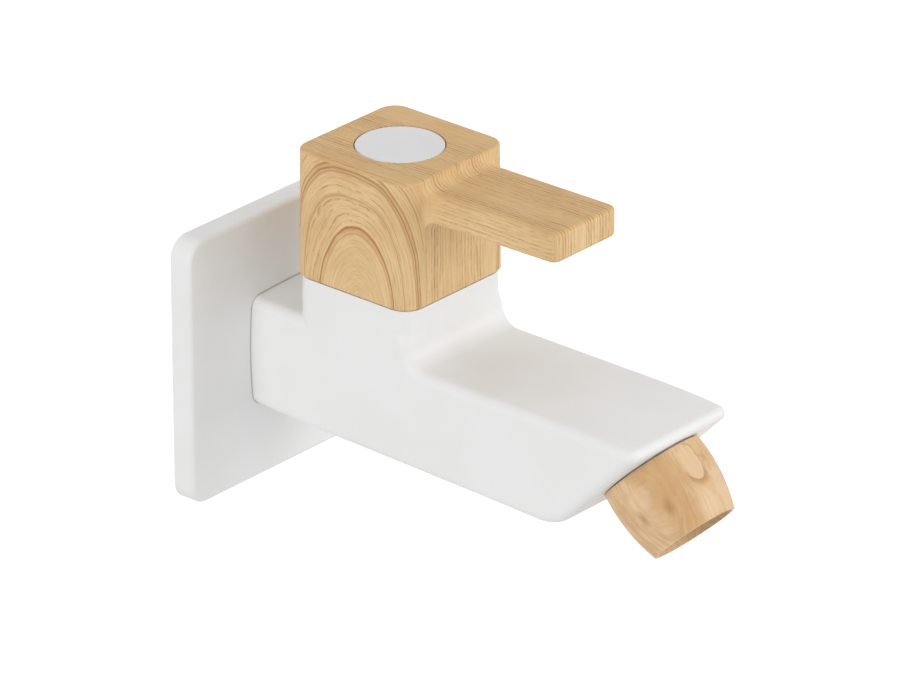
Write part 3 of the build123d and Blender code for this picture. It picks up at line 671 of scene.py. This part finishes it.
def handle_film():
    """Film of the cube and the lever."""
    material, tree, surface, place = new_finish("wood_film_handle")
    x, y, z = split(tree, place)
    side_x = calc(tree, "ABSOLUTE", x)
    along = calc(tree, "ADD", y, z)
    slow = noise(tree, vector(tree, x, times(tree, along, 0.25), 0.0), 0.09)
    flat_lines, flat_streaks = straight_print(tree, x, y, along, slow)
    side_lines, side_streaks, bold, soft = side_print(tree, way_round(tree, x, y), z)
    rings = calc(tree, "DIVIDE", scaled(tree, slow, BEND, z), LEVER_SPACING)
    lever = film(tree, rings, y, z, Waver=0.35)
    on_side, on_lever, at_root, on_top = masks(tree, side_x, y, z)

    def choose(flat_value, side_value, lever_value):
        """Value for the way that the print runs here."""
        return mix(tree, on_lever, mix(tree, on_side, flat_value, side_value), lever_value)

    lines = choose(flat_lines, side_lines, times(tree, lever["Lines"], LEVER_STRENGTH))
    lines = times(tree, lines, scaled(tree, at_root, -0.8, 1.0))
    lines = calc(tree, "MINIMUM", lines, 1.0)
    streaks = choose(flat_streaks, side_streaks, lever["Streaks"])

    cloud = ramp(tree, noise(tree, place, 0.06), 0.4, 0.7)
    colour = blend(tree, ramp(tree, streaks, *STREAK_LIMITS), PALE, MIDDLE)
    colour = blend(tree, times(tree, cloud, SHARES["cloud"]), colour, TAN)
    colour = blend(tree, times(tree, on_top, SHARES["top"]), colour, TOP_TAN)
    colour = blend(tree, times(tree, soft, on_side), colour, BAND_BROWN)
    colour = blend(tree, times(tree, lines, SHARES["lines"]), colour, LINE_BROWN)
    colour = blend(tree, times(tree, bold, on_side, SHARES["bold"]), colour, LINE_BROWN)
    tree.links.new(colour, surface.inputs["Base Color"])
    surface.inputs["Specular IOR Level"].default_value = FILM_SPECULAR
    vary_roughness(tree, surface, streaks, **FILM_ROUGHNESS)
    relief = use_group(tree, RELIEF, {"Place": place})
    height = scaled(tree, lines, -LINE_DEPTH, relief["Height"])
    bump(tree, surface, height, **FILM_BUMP)
    return material


HANDLE_FILM = handle_film()
print("finish:", HANDLE_FILM.name)

# %% [markdown]
# ## Wood-look film on the nozzle
#
# On the nozzle the lines follow its axis, so the rings are counted from a pith beside it.
# The print is softer here and redder, with a pale eye, paler patches and small dark knots.
# Each mark is an oval in space that the barrel cuts through, with a centre, a radius and
# a stretch. Places are the nozzle's own: sideways, across, and along from its upper end.

# %% Marks on the nozzle
EYE = {"centre": (-1.4, 14.2, 6.4), "radius": 3.0, "stretch": 0.62}
PATCHES = (
    ((-2.1, 12.9, 17.0), 3.6, 0.75),
    ((-13.4, 4.8, 7.2), 2.3, 0.7),
    ((11.0, -8.0, 9.0), 3.4, 0.5),
    ((5.0, 13.0, 14.5), 3.4, 0.6),
)
KNOTS = (
    ((-11.0, 8.6, 13.4), 1.25, 0.5),
    ((-13.9, 1.4, 12.3), 1.0, 0.45),
    ((9.0, 10.5, 12.0), 1.5, 0.55),
)
PATCH_RIM = (0.5, 1.45)
KNOT_RIM = (0.1, 1.6)
NOZZLE_START = 10.0


def nozzle_place(tree, place):
    """The three parts of a place in the nozzle's own turn."""
    centred = vector_calc(tree, "SUBTRACT", place, tuple(nozzle_centre / MM))
    turn = {"Vector": centred, "Angle": NOZZLE_LEAN}
    turned = put(tree, "ShaderNodeVectorRotate", turn, rotation_type="X_AXIS").outputs[0]
    parts = split(tree, turned)
    along = scaled(tree, parts[2], -1.0, NOZZLE_START)
    return parts[0], times(tree, parts[1], -1.0), along


def oval(tree, place, centre, radius, stretch):
    """1 on the rim of an oval mark, less inside it."""
    away = vector_calc(tree, "SUBTRACT", place, centre)
    away = vector_calc(tree, "MULTIPLY", away, (1.0, 1.0, stretch))
    return calc(tree, "DIVIDE", length(tree, away), radius)


def soft_marks(tree, place, marks, low, high):
    """The strongest of several soft oval marks."""
    return largest(tree, *[ramp(tree, oval(tree, place, *mark), high, low) for mark in marks])


def away_from(tree, x, across, centre):
    """Distance from a line along the nozzle."""
    gap_x = minus(tree, x, centre[0])
    gap_across = minus(tree, across, centre[1])
    return length(tree, vector(tree, gap_x, gap_across, 0.0))


print("one eye,", len(PATCHES), "pale patches and", len(KNOTS), "knots")

# %% [markdown]
# The eye is a pale oval, crisp below and to the right, with a thin brown rim and a shade
# under it. The lines bend away from it.

# %% Lines and eye of the nozzle
PITH = (-30.0, 15.0)
NOZZLE_SPACING = 1.9
RING_DRIFT = 2.5
EYE_PUSH = 2.4


def nozzle_lines(tree, x, across, along, eye, patches):
    """Lines and streaks, thinner in the eye and on the patches."""
    drift_place = vector(tree, x, across, times(tree, along, 0.3))
    slow = noise(tree, drift_place, 0.11)
    distance = scaled(tree, slow, RING_DRIFT, away_from(tree, x, across, PITH))
    distance = scaled(tree, ramp(tree, eye, 2.2, 0.9), EYE_PUSH, distance)
    rings = calc(tree, "DIVIDE", distance, NOZZLE_SPACING)
    grain = film(tree, rings, along, distance, Break=0.9, Waver=0.25)
    outside_eye = scaled(tree, ramp(tree, eye, 0.95, 1.1), 0.85, 0.15)
    return times(tree, grain["Lines"], outside_eye, scaled(tree, patches, -0.6, 1.0)), grain["Streaks"]


def eye_parts(tree, x, along, eye):
    """Masks of the eye's inside, its rim and the shade under it."""
    below = ramp(tree, along, 7.5, 10.5)
    right = ramp(tree, x, EYE["centre"][0], EYE["centre"][0] + 2.0)
    crisp_side = largest(tree, right, below)
    crisp = times(tree, ramp(tree, eye, 1.06, 0.98), crisp_side)
    inside = largest(tree, crisp, ramp(tree, eye, 1.25, 0.55))
    rim = times(tree, thin_line(tree, eye, 1.05, 0.1), crisp_side)
    shade_under = times(tree, ramp(tree, eye, 1.02, 1.1), ramp(tree, eye, 1.45, 1.15), below)
    return inside, rim, shade_under


print("nozzle lines are", NOZZLE_SPACING, "mm apart")

# %% [markdown]
# The material lays all this over a ground of three colours, darkest near the heart.

# %% Nozzle film
NOZZLE_PALE = paint(238, 208, 172)
NOZZLE_MIDDLE = paint(224, 186, 137)
NOZZLE_TAN = paint(207, 162, 110)
KNOT_BROWN = paint(172, 120, 72)
HEART = (-10.0, 10.5)
MARK_WARP = 3.0
MARK_WARP_SCALE = 0.28


def nozzle_film():
    """Film of the nozzle."""
    material, tree, surface, place = new_finish("wood_film_nozzle")
    x, across, along = nozzle_place(tree, place)
    warp = noise(tree, vector(tree, x, across, along), MARK_WARP_SCALE)
    warped_x = scaled(tree, minus(tree, warp, 0.5), MARK_WARP, x)
    own = vector(tree, warped_x, across, along)
    eye = oval(tree, own, **EYE)
    patches = soft_marks(tree, own, PATCHES, *PATCH_RIM)
    knots = soft_marks(tree, own, KNOTS, *KNOT_RIM)
    inside_eye, rim, shade_under = eye_parts(tree, x, along, eye)
    lines, streaks = nozzle_lines(tree, x, across, along, eye, patches)

    colour = blend(tree, ramp(tree, streaks, *STREAK_LIMITS), NOZZLE_PALE, NOZZLE_MIDDLE)
    heart = ramp(tree, away_from(tree, x, across, HEART), 8.0, 2.0)
    cloud = ramp(tree, noise(tree, own, 0.12), 0.4, 0.65)
    for mask, share, over in (
        (heart, 0.6, NOZZLE_TAN),
        (cloud, 0.5, NOZZLE_TAN),
        (patches, 0.45, NOZZLE_PALE),
        (inside_eye, 0.65, NOZZLE_PALE),
        (lines, 0.5, KNOT_BROWN),
        (knots, 0.5, KNOT_BROWN),
        (shade_under, 0.4, KNOT_BROWN),
        (rim, 0.35, KNOT_BROWN),
    ):
        colour = blend(tree, times(tree, mask, share), colour, over)
    tree.links.new(colour, surface.inputs["Base Color"])
    surface.inputs["Specular IOR Level"].default_value = FILM_SPECULAR
    vary_roughness(tree, surface, streaks, **FILM_ROUGHNESS)
    bump(tree, surface, use_group(tree, RELIEF, {"Place": place})["Height"], **FILM_BUMP)
    return material


NOZZLE_FILM = nozzle_film()
print("finish:", NOZZLE_FILM.name)

# %% [markdown]
# ## Turned metal
#
# The inlet nipple and the headwork are turned from brass bar, and the screw, clip and wire
# are steel. A lathe leaves fine rings round the axis. The noise reads only the distance
# from the axis and the place along it, so it makes such rings by itself.

# %% Turned metal finishes
TOOL_RINGS = {"scale": 7.0, "detail": 3.0, "roughness": 0.6}
METAL_SWING = 0.18
METAL_BUMP = {"strength": 0.3, "depth": 0.006}
INLET_CENTRE = (0.0, 0.0, 0.0)
VALVE_CENTRE = (0.0, VALVE_Y / MM, 0.0)


def turned_metal(name, colour, worn_colour, roughness, axis, centre):
    """Metal with tool rings round an axis, which is Y or Z."""
    material, tree, surface, place = new_finish(name)
    parts = split(tree, vector_calc(tree, "SUBTRACT", place, centre))
    other = parts["Z" if axis == "Y" else "Y"]
    radius = length(tree, vector(tree, parts["X"], other, 0.0))
    rings = noise(tree, vector(tree, radius, parts[axis], 0.0), **TOOL_RINGS)
    stain = ramp(tree, noise(tree, place, 0.18, 3.0), 0.4, 0.7)
    tree.links.new(blend(tree, stain, colour, worn_colour), surface.inputs["Base Color"])
    surface.inputs["Metallic"].default_value = 1.0
    vary_roughness(tree, surface, rings, roughness, METAL_SWING)
    bump(tree, surface, rings, **METAL_BUMP)
    return material


NIPPLE_BRASS = turned_metal(
    "brass_inlet", paint(212, 178, 112), paint(188, 148, 84), 0.34, "Y", INLET_CENTRE
)
VALVE_BRASS = turned_metal(
    "brass_valve", paint(214, 182, 118), paint(196, 158, 94), 0.3, "Z", VALVE_CENTRE
)
STEEL = turned_metal("steel", paint(190, 190, 188), paint(170, 170, 170), 0.3, "Z", VALVE_CENTRE)
print("finishes:", NIPPLE_BRASS.name, VALVE_BRASS.name, STEEL.name)

# %% [markdown]
# ## Rubber, ceramic and acetal
#
# The seals are black rubber with a dull skin and a trace of grease. The valve discs are
# lapped alumina, hard, near white and almost mirror-flat. The bush, washers and the
# aerator are acetal, a milky plastic with a dull sheen.

# %% Seal, disc and bush finishes
SMALL_RELIEF = {"Peel size": 1.2, "Grit size": 0.12}
SMALL_BUMP = {"strength": 0.3, "depth": 0.01}


def plain_finish(name, colour, cloud_colour, roughness, swing, grit):
    """Plain finish of a small piece, whose tint and roughness drift a little."""
    material, tree, surface, place = new_finish(name)
    relief = use_group(tree, RELIEF, {"Place": place, "Grit": grit, **SMALL_RELIEF})
    fine = noise(tree, place, 0.6, 3.0)
    tint = blend(tree, ramp(tree, fine, *CLOUD_LIMITS), colour, cloud_colour)
    tree.links.new(tint, surface.inputs["Base Color"])
    vary_roughness(tree, surface, fine, roughness, swing)
    bump(tree, surface, relief["Height"], **SMALL_BUMP)
    return material


RUBBER = plain_finish("rubber", paint(34, 34, 35), paint(46, 46, 47), 0.6, 0.3, 0.6)
CERAMIC = plain_finish("ceramic", paint(236, 233, 225), paint(230, 226, 216), 0.14, 0.06, 0.1)
ACETAL = plain_finish("acetal", paint(226, 225, 219), paint(216, 215, 208), 0.45, 0.1, 0.3)
print("finishes:", RUBBER.name, CERAMIC.name, ACETAL.name)

# %% [markdown]
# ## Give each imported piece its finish
#
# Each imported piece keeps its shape, and only its material slot changes.

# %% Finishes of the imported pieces
FINISHES = {
    FLANGE_WHITE: ("wall_flange",),
    BODY_WHITE: ("main_body",),
    CAP_WHITE: ("screw_cap",),
    HANDLE_FILM: ("handle",),
    NOZZLE_FILM: ("nozzle_shell",),
    NIPPLE_BRASS: ("inlet_nipple",),
    VALVE_BRASS: ("headwork_housing", "spindle"),
    STEEL: ("handle_screw", "retaining_clip", "aerator_screens"),
    RUBBER: ("flange_grip_ring", "headwork_o_ring", "base_seal", "spindle_o_rings", "nozzle_gasket"),
    CERAMIC: ("fixed_disc", "moving_disc"),
    ACETAL: (
        "seal_support_ring",
        "thrust_washer",
        "handle_insert",
        "aerator_housing",
        "aerator_flow_disc",
    ),
}
for finish, names in FINISHES.items():
    for name in names:
        frame["nodes"][name].material_slots[0].material = finish
print(sum(map(len, FINISHES.values())), "pieces finished, of", len(frame["nodes"]))

# %% [markdown]
# ## Fine pieces
#
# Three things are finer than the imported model: the inlet's thread, the weave of the wire
# screens, and the handle's foot, which is sharper and closer to the body. Each new piece
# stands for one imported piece, rides on the same body and stays inside the tap's box.

# %% Turn a finished mesh into a piece
SMOOTH_ANGLE = math.radians(32)


def add_piece(mesh, name, finish, body, stands_for):
    """Makes a mesh an object with its finish, and says what it rides on and replaces."""
    mesh.name = name
    mesh.materials.clear()
    mesh.materials.append(finish)
    piece = bpy.data.objects.new(name, mesh)
    bpy.context.scene.collection.objects.link(piece)
    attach(piece, body)
    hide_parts(stands_for)
    print(name, len(mesh.polygons), "faces")
    return piece


def shade(shape):
    """Smooth shading, with sharp edges where two faces meet at a clear angle."""
    for face in shape.faces:
        face.smooth = True
    for edge in shape.edges:
        edge.smooth = len(edge.link_faces) == 2 and edge.calc_face_angle() < SMOOTH_ANGLE


def to_new_mesh(shape, name):
    """Closes a bmesh into a new mesh."""
    mesh = bpy.data.meshes.new(name)
    shape.to_mesh(mesh)
    shape.free()
    return mesh


print("edges over", round(math.degrees(SMOOTH_ANGLE)), "degrees stay sharp")

# %% [markdown]
# ### Inlet thread
#
# The inlet has a pipe thread of 14 turns to the inch with flanks at 55 degrees. A bump
# would leave the outline straight, so the ridges are real. The outline of one ridge is
# spun about the inlet's axis and moves on by one pitch each turn, which makes one long
# helix. Two cuts trim it, and its end is drawn in to a cone so that it starts easily.

# %% Thread helix
PITCH = 25.4 / 14 * MM
CREST_R = 10.4 * MM
GROOVE_R = 9.32 * MM
RIDGE = ((0.0, GROOVE_R), (0.34, CREST_R), (0.5, CREST_R), (0.84, GROOVE_R), (1.0, GROOVE_R))
THREAD_START = 0.3 * MM
THREAD_STEPS = 72
TURNS_BEFORE = 1.5
CONE_START = 14.0 * MM
BORE_R = 6.5 * MM
BORE_CHAMFER = 1.0 * MM
WELD = 0.002 * MM
THREAD_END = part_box("inlet_nipple")[1].y


def cut_square(shape, level, keep_below):
    """Cuts everything on one side of a plane square to the inlet's axis."""
    bmesh.ops.bisect_plane(
        shape,
        geom=shape.verts[:] + shape.edges[:] + shape.faces[:],
        dist=WELD / 10,
        plane_co=(0, level, 0),
        plane_no=(0, 1, 0),
        clear_outer=keep_below,
        clear_inner=not keep_below,
    )


def thread_helix():
    """Mesh of the thread alone, open at both ends."""
    shape = bmesh.new()
    first = THREAD_START - TURNS_BEFORE * PITCH
    outline = [shape.verts.new((radius, first + share * PITCH, 0)) for share, radius in RIDGE]
    edges = [shape.edges.new(pair) for pair in zip(outline, outline[1:])]
    turns = math.ceil((THREAD_END - first) / PITCH) + 1
    bmesh.ops.spin(
        shape,
        geom=outline + edges,
        cent=(0, 0, 0),
        axis=(0, 1, 0),
        dvec=(0, PITCH / THREAD_STEPS, 0),
        angle=math.tau * turns,
        steps=THREAD_STEPS * turns,
        use_merge=False,
    )
    bmesh.ops.remove_doubles(shape, verts=shape.verts, dist=WELD)
    cut_square(shape, THREAD_START, keep_below=False)
    cut_square(shape, THREAD_END, keep_below=True)
    for vert in shape.verts:
        radius = math.hypot(vert.co.x, vert.co.z)
        limit = CREST_R - max(0.0, vert.co.y - CONE_START)
        if radius > limit:
            vert.co.x *= limit / radius
            vert.co.z *= limit / radius
    return to_new_mesh(shape, "thread")


THREAD = thread_helix()
print("thread:", len(THREAD.polygons), "faces")

# %% [markdown]
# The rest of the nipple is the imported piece, cut off where the thread starts. Its bore is
# drawn out again to the end, and two flat rings join the thread to the shank and the bore.

# %% Nipple with its thread
BETWEEN_R = (BORE_R + CREST_R) / 2


def is_rim(edge, level):
    """Whether an open edge lies at a level of the inlet's axis."""
    return edge.is_boundary and all(abs(vert.co.y - level) < WELD for vert in edge.verts)


def threaded_nipple():
    """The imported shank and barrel, then the thread, the bore and the end face."""
    shape = bmesh.new()
    shape.from_mesh(frame["nodes"]["inlet_nipple"].data)
    bmesh.ops.remove_doubles(shape, verts=shape.verts, dist=WELD)
    cut_square(shape, THREAD_START, keep_below=True)
    bore = [e for e in shape.edges if e.is_boundary and e.verts[0].co.length < BETWEEN_R]
    for level, radius in ((CONE_START, BORE_R), (THREAD_END, BORE_R + BORE_CHAMFER)):
        made = bmesh.ops.extrude_edge_only(shape, edges=bore)["geom"]
        rim = [part for part in made if isinstance(part, bmesh.types.BMVert)]
        bore = [part for part in made if isinstance(part, bmesh.types.BMEdge) and part.is_boundary]
        widen = radius / math.hypot(rim[0].co.x, rim[0].co.z)
        bmesh.ops.translate(shape, verts=rim, vec=(0, level - rim[0].co.y, 0))
        bmesh.ops.scale(shape, verts=rim, vec=(widen, 1.0, widen))
    shape.from_mesh(THREAD)
    for level in (THREAD_START, THREAD_END):
        rims = [edge for edge in shape.edges if is_rim(edge, level)]
        bmesh.ops.triangle_fill(shape, edges=rims, use_beauty=True)
    bmesh.ops.remove_doubles(shape, verts=shape.verts, dist=WELD / 4)
    bmesh.ops.recalc_face_normals(shape, faces=shape.faces)
    print("open edges left on the nipple:", sum(edge.is_boundary for edge in shape.edges))
    shade(shape)
    return to_new_mesh(shape, "nipple")


add_piece(threaded_nipple(), "threaded_inlet_nipple", NIPPLE_BRASS, "body", "inlet_nipple")
bpy.data.meshes.remove(THREAD)

# %% [markdown]
# ### Wire screens
#
# Two plain-woven steel screens lie on the aerator's grid. Each wire passes over and under
# the wires that cross it, so it is a thin rod, divided along its length and bent by a
# cosine. A flat rim spun from a small rectangle holds the ends of the wires.

# %% Woven screen
WIRE_R = 0.08 * MM
WIRE_SIDES = 6
WEAVE_PITCH = 0.85 * MM
WEAVE_RISE = 0.085 * MM
WAVE_STEPS = 4
RIM_WIDTH = 0.7 * MM
RIM_HALF = 0.15 * MM
RIM_STEPS = 72
SCREEN_SPACING = 0.4 * MM
SCREEN_TURNS = (0.0, 30.0)
screen_low, screen_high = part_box("aerator_screens")
SCREEN_CENTRE = (screen_low + screen_high) / 2
SCREEN_R = screen_high.x


def woven_wire(number, turn):
    """One waved wire across a screen, numbered from the middle one."""
    offset = number * WEAVE_PITCH
    half = math.sqrt((SCREEN_R - RIM_WIDTH / 2) ** 2 - offset**2)
    wire = bmesh.new()
    bmesh.ops.create_cone(
        wire,
        cap_ends=True,
        segments=WIRE_SIDES,
        radius1=WIRE_R,
        radius2=WIRE_R,
        depth=2 * half,
        matrix=Matrix.Rotation(math.pi / 2, 4, "Y"),
    )
    long_edges = [e for e in wire.edges if abs(e.verts[0].co.x - e.verts[1].co.x) > half]
    steps = math.ceil(2 * half / WEAVE_PITCH * WAVE_STEPS)
    bmesh.ops.subdivide_edges(wire, edges=long_edges, cuts=steps - 1)
    start = math.pi * (number + (turn > 0))
    for vert in wire.verts:
        vert.co.z += WEAVE_RISE * math.cos(math.pi * vert.co.x / WEAVE_PITCH + start)
        vert.co.y += offset
    bmesh.ops.rotate(wire, verts=wire.verts, cent=(0, 0, 0), matrix=Matrix.Rotation(turn, 3, "Z"))
    return to_new_mesh(wire, "wire")


def screen_rim(shape):
    """Flat ring that holds the wires' ends."""
    corners = ((-RIM_WIDTH, -RIM_HALF), (0.0, -RIM_HALF), (0.0, RIM_HALF), (-RIM_WIDTH, RIM_HALF))
    verts = [shape.verts.new((SCREEN_R + x, 0, z)) for x, z in corners]
    edges = [shape.edges.new((verts[i], verts[i - 1])) for i in range(len(verts))]
    whole = {"cent": (0, 0, 0), "axis": (0, 0, 1), "angle": math.tau, "use_merge": True}
    bmesh.ops.spin(shape, geom=verts + edges, steps=RIM_STEPS, **whole)


def join(shape, mesh):
    """Adds a mesh to a bmesh and frees it."""
    shape.from_mesh(mesh)
    bpy.data.meshes.remove(mesh)


def one_screen(turn, height):
    """Mesh of one screen, turned about its middle and raised."""
    shape = bmesh.new()
    screen_rim(shape)
    wires = int((SCREEN_R - RIM_WIDTH) / WEAVE_PITCH)
    for number in range(-wires, wires + 1):
        for direction in (0.0, math.pi / 2):
            join(shape, woven_wire(number, direction))
    bmesh.ops.rotate(shape, verts=shape.verts, cent=(0, 0, 0), matrix=Matrix.Rotation(turn, 3, "Z"))
    bmesh.ops.translate(shape, verts=shape.verts, vec=(0, 0, height))
    return to_new_mesh(shape, "screen")


def wire_screens():
    """Both screens, turned against each other and laid square to the nozzle."""
    shape = bmesh.new()
    for side, turn in zip((-0.5, 0.5), SCREEN_TURNS):
        join(shape, one_screen(math.radians(turn), side * SCREEN_SPACING))
    tilt = Vector((0, 0, 1)).rotation_difference(NOZZLE_AXIS).to_matrix()
    bmesh.ops.rotate(shape, verts=shape.verts, cent=(0, 0, 0), matrix=tilt)
    bmesh.ops.translate(shape, verts=shape.verts, vec=SCREEN_CENTRE)
    bmesh.ops.recalc_face_normals(shape, faces=shape.faces)
    shade(shape)
    return to_new_mesh(shape, "screens")


add_piece(wire_screens(), "woven_aerator_screens", STEEL, "body", "aerator_screens")

# %% [markdown]
# ### Handle foot
#
# The photograph shows only a hairline of shadow under the cube, and a small edge on its
# foot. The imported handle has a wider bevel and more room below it. A copy keeps all its
# faces: the bevel is drawn out, the foot comes down, and the smooth shading is put back.

# %% Handle with a sharper foot
FOOT_Z = handle_low.z
PACKED_EDGE = 1.2 * MM
SHARP_EDGE = 0.5 * MM
FOOT_DROP = 0.25 * MM
CORE_HALF = FLAT_HALF * MM


def sharpen_foot(vert):
    """Moves a vertex of the foot out and down."""
    above = vert.co.z - FOOT_Z
    middle = Vector((0, VALVE_Y))
    place = vert.co.xy - middle
    core = Vector([max(-CORE_HALF, min(CORE_HALF, part)) for part in place])
    out = place - core
    if out.length > CORNER_R * MM - PACKED_EDGE - WELD:
        share = SHARP_EDGE / PACKED_EDGE
        move = out.normalized() * (PACKED_EDGE - above) * (1 - share)
        vert.co.xy += move
        vert.co.z = FOOT_Z + above * share - FOOT_DROP
    elif above < WELD:
        vert.co.z -= FOOT_DROP


def sharp_footed_handle():
    """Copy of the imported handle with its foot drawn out."""
    mesh = frame["nodes"]["handle"].data.copy()
    normals = [corner.vector.copy() for corner in mesh.corner_normals]
    shape = bmesh.new()
    shape.from_mesh(mesh)
    bmesh.ops.remove_doubles(shape, verts=shape.verts, dist=WELD / 10)
    foot = [vert for vert in shape.verts if vert.co.z < FOOT_Z + PACKED_EDGE + WELD]
    for vert in foot:
        sharpen_foot(vert)
    shape.to_mesh(mesh)
    shape.free()
    print("foot vertices moved:", len(foot), "corners", len(mesh.loops), "of", len(normals))
    mesh.normals_split_custom_set(normals)
    return mesh


add_piece(sharp_footed_handle(), "sharp_footed_handle", HANDLE_FILM, "handle", "handle")

# %% [markdown]
# ## Floor and background
#
# The photograph has a plain white ground. The floor lies well below the tap, so that it
# takes only a soft shadow. For rays from the camera, mirrors and glass it adds a glow to
# its own colour, which lifts it to white. The world is white to the camera and dimmer as
# a lamp.

# %% Floor and world
FLOOR_DROP = 0.22
FLOOR_SIZE = 30.0
WORLD_LEVEL = 0.6
FLOOR_GREY = paint(215, 215, 215)
FLOOR_GLOW = 0.6
PURE_WHITE = (1.0, 1.0, 1.0, 1.0)


def seen_rays(tree):
    """1 for rays from the camera, or by way of a mirror or glass."""
    rays = put(tree, "ShaderNodeLightPath").outputs
    return largest(tree, rays["Is Camera Ray"], rays["Is Glossy Ray"], rays["Is Transmission Ray"])


def floor_finish():
    """Pale matt floor that reads as white to the camera."""
    material = bpy.data.materials.new("floor")
    material.use_nodes = True
    tree = material.node_tree
    tree.nodes.clear()
    matt = put(tree, "ShaderNodeBsdfDiffuse", {"Color": FLOOR_GREY})
    lift = times(tree, seen_rays(tree), FLOOR_GLOW)
    glow = put(tree, "ShaderNodeEmission", {"Color": PURE_WHITE, "Strength": lift})
    both = put(tree, "ShaderNodeAddShader", {0: matt.outputs[0], 1: glow.outputs[0]})
    put(tree, "ShaderNodeOutputMaterial", {"Surface": both.outputs[0]})
    return material


sheet = bmesh.new()
bmesh.ops.create_grid(sheet, x_segments=1, y_segments=1, size=FLOOR_SIZE / 2)
bmesh.ops.translate(sheet, verts=sheet.verts, vec=(0, 0, cad_low.z - FLOOR_DROP))
floor_mesh = bpy.data.meshes.new("floor")
sheet.to_mesh(floor_mesh)
sheet.free()
floor_mesh.materials.append(floor_finish())
floor = bpy.data.objects.new("floor", floor_mesh)
bpy.context.scene.collection.objects.link(floor)

world = bpy.data.worlds.new("studio")
bpy.context.scene.world = world
world.use_nodes = True
world.node_tree.nodes.clear()
seen = seen_rays(world.node_tree)
level = calc(world.node_tree, "MULTIPLY_ADD", seen, 1.0 - WORLD_LEVEL, WORLD_LEVEL)
sky = put(world.node_tree, "ShaderNodeBackground", {"Color": PURE_WHITE, "Strength": level})
put(world.node_tree, "ShaderNodeOutputWorld", {"Surface": sky.outputs[0]})
print("floor at z =", round((cad_low.z - FLOOR_DROP) / MM), "mm")

# %% [markdown]
# ## Light
#
# The photograph is lit almost evenly, a little more from the front and the left than from
# above. Three large soft lamps do that over the even world light. Each lamp is set by the
# share of light that it adds to a face turned squarely to it.

# %% Soft lamps
middle = (cad_low + cad_high) / 2


def soft_lamp(name, toward, share, size=1.6, distance=2.2):
    """Square lamp in a direction from the tap, adding a share of full light."""
    lamp = bpy.data.lights.new(name, "AREA")
    lamp.shape = "SQUARE"
    lamp.size = size
    lamp.energy = share * math.pi**2 * distance**2
    there = bpy.data.objects.new(name, lamp)
    there.location = middle + Vector(toward).normalized() * distance
    there.rotation_euler = Vector(toward).to_track_quat("Z", "Y").to_euler()
    bpy.context.scene.collection.objects.link(there)
    return there


soft_lamp("lamp_left", (-1.0, -0.1, 0.2), 0.36)
soft_lamp("lamp_front", (0.7, -1.0, 0.25), 0.41)
soft_lamp("lamp_top", (0.1, -0.3, 1.0), 0.09)

# %% [markdown]
# ## Camera
#
# The long lens and the viewpoint were worked out from the outlines of the flange and the
# cube. With turn, tilt and place known, the camera's own axes are three unit vectors.

# %% Camera
TURN = math.radians(-48.94)
TILT = math.radians(25.14)
ROLL = math.radians(-0.08)
LENS = 309.57
SENSOR = 36.0
CAMERA_AT = Vector((-1.3577, -1.2408, 0.8575))

right = Vector((math.cos(TURN), math.sin(TURN), 0))
ahead = Vector((-math.sin(TURN) * math.cos(TILT), math.cos(TURN) * math.cos(TILT), -math.sin(TILT)))
above = right.cross(ahead)
lens = bpy.data.cameras.new("camera")
lens.lens = LENS
lens.sensor_width = SENSOR
camera = bpy.data.objects.new("camera", lens)
look = Matrix((right, above, -ahead)).transposed().to_4x4() @ Matrix.Rotation(ROLL, 4, "Z")
camera.matrix_world = Matrix.Translation(CAMERA_AT) @ look
bpy.context.scene.collection.objects.link(camera)
bpy.context.scene.camera = camera
bpy.context.scene.view_settings.view_transform = "Standard"
print("camera", [round(c, 3) for c in camera.location], "lens", LENS)
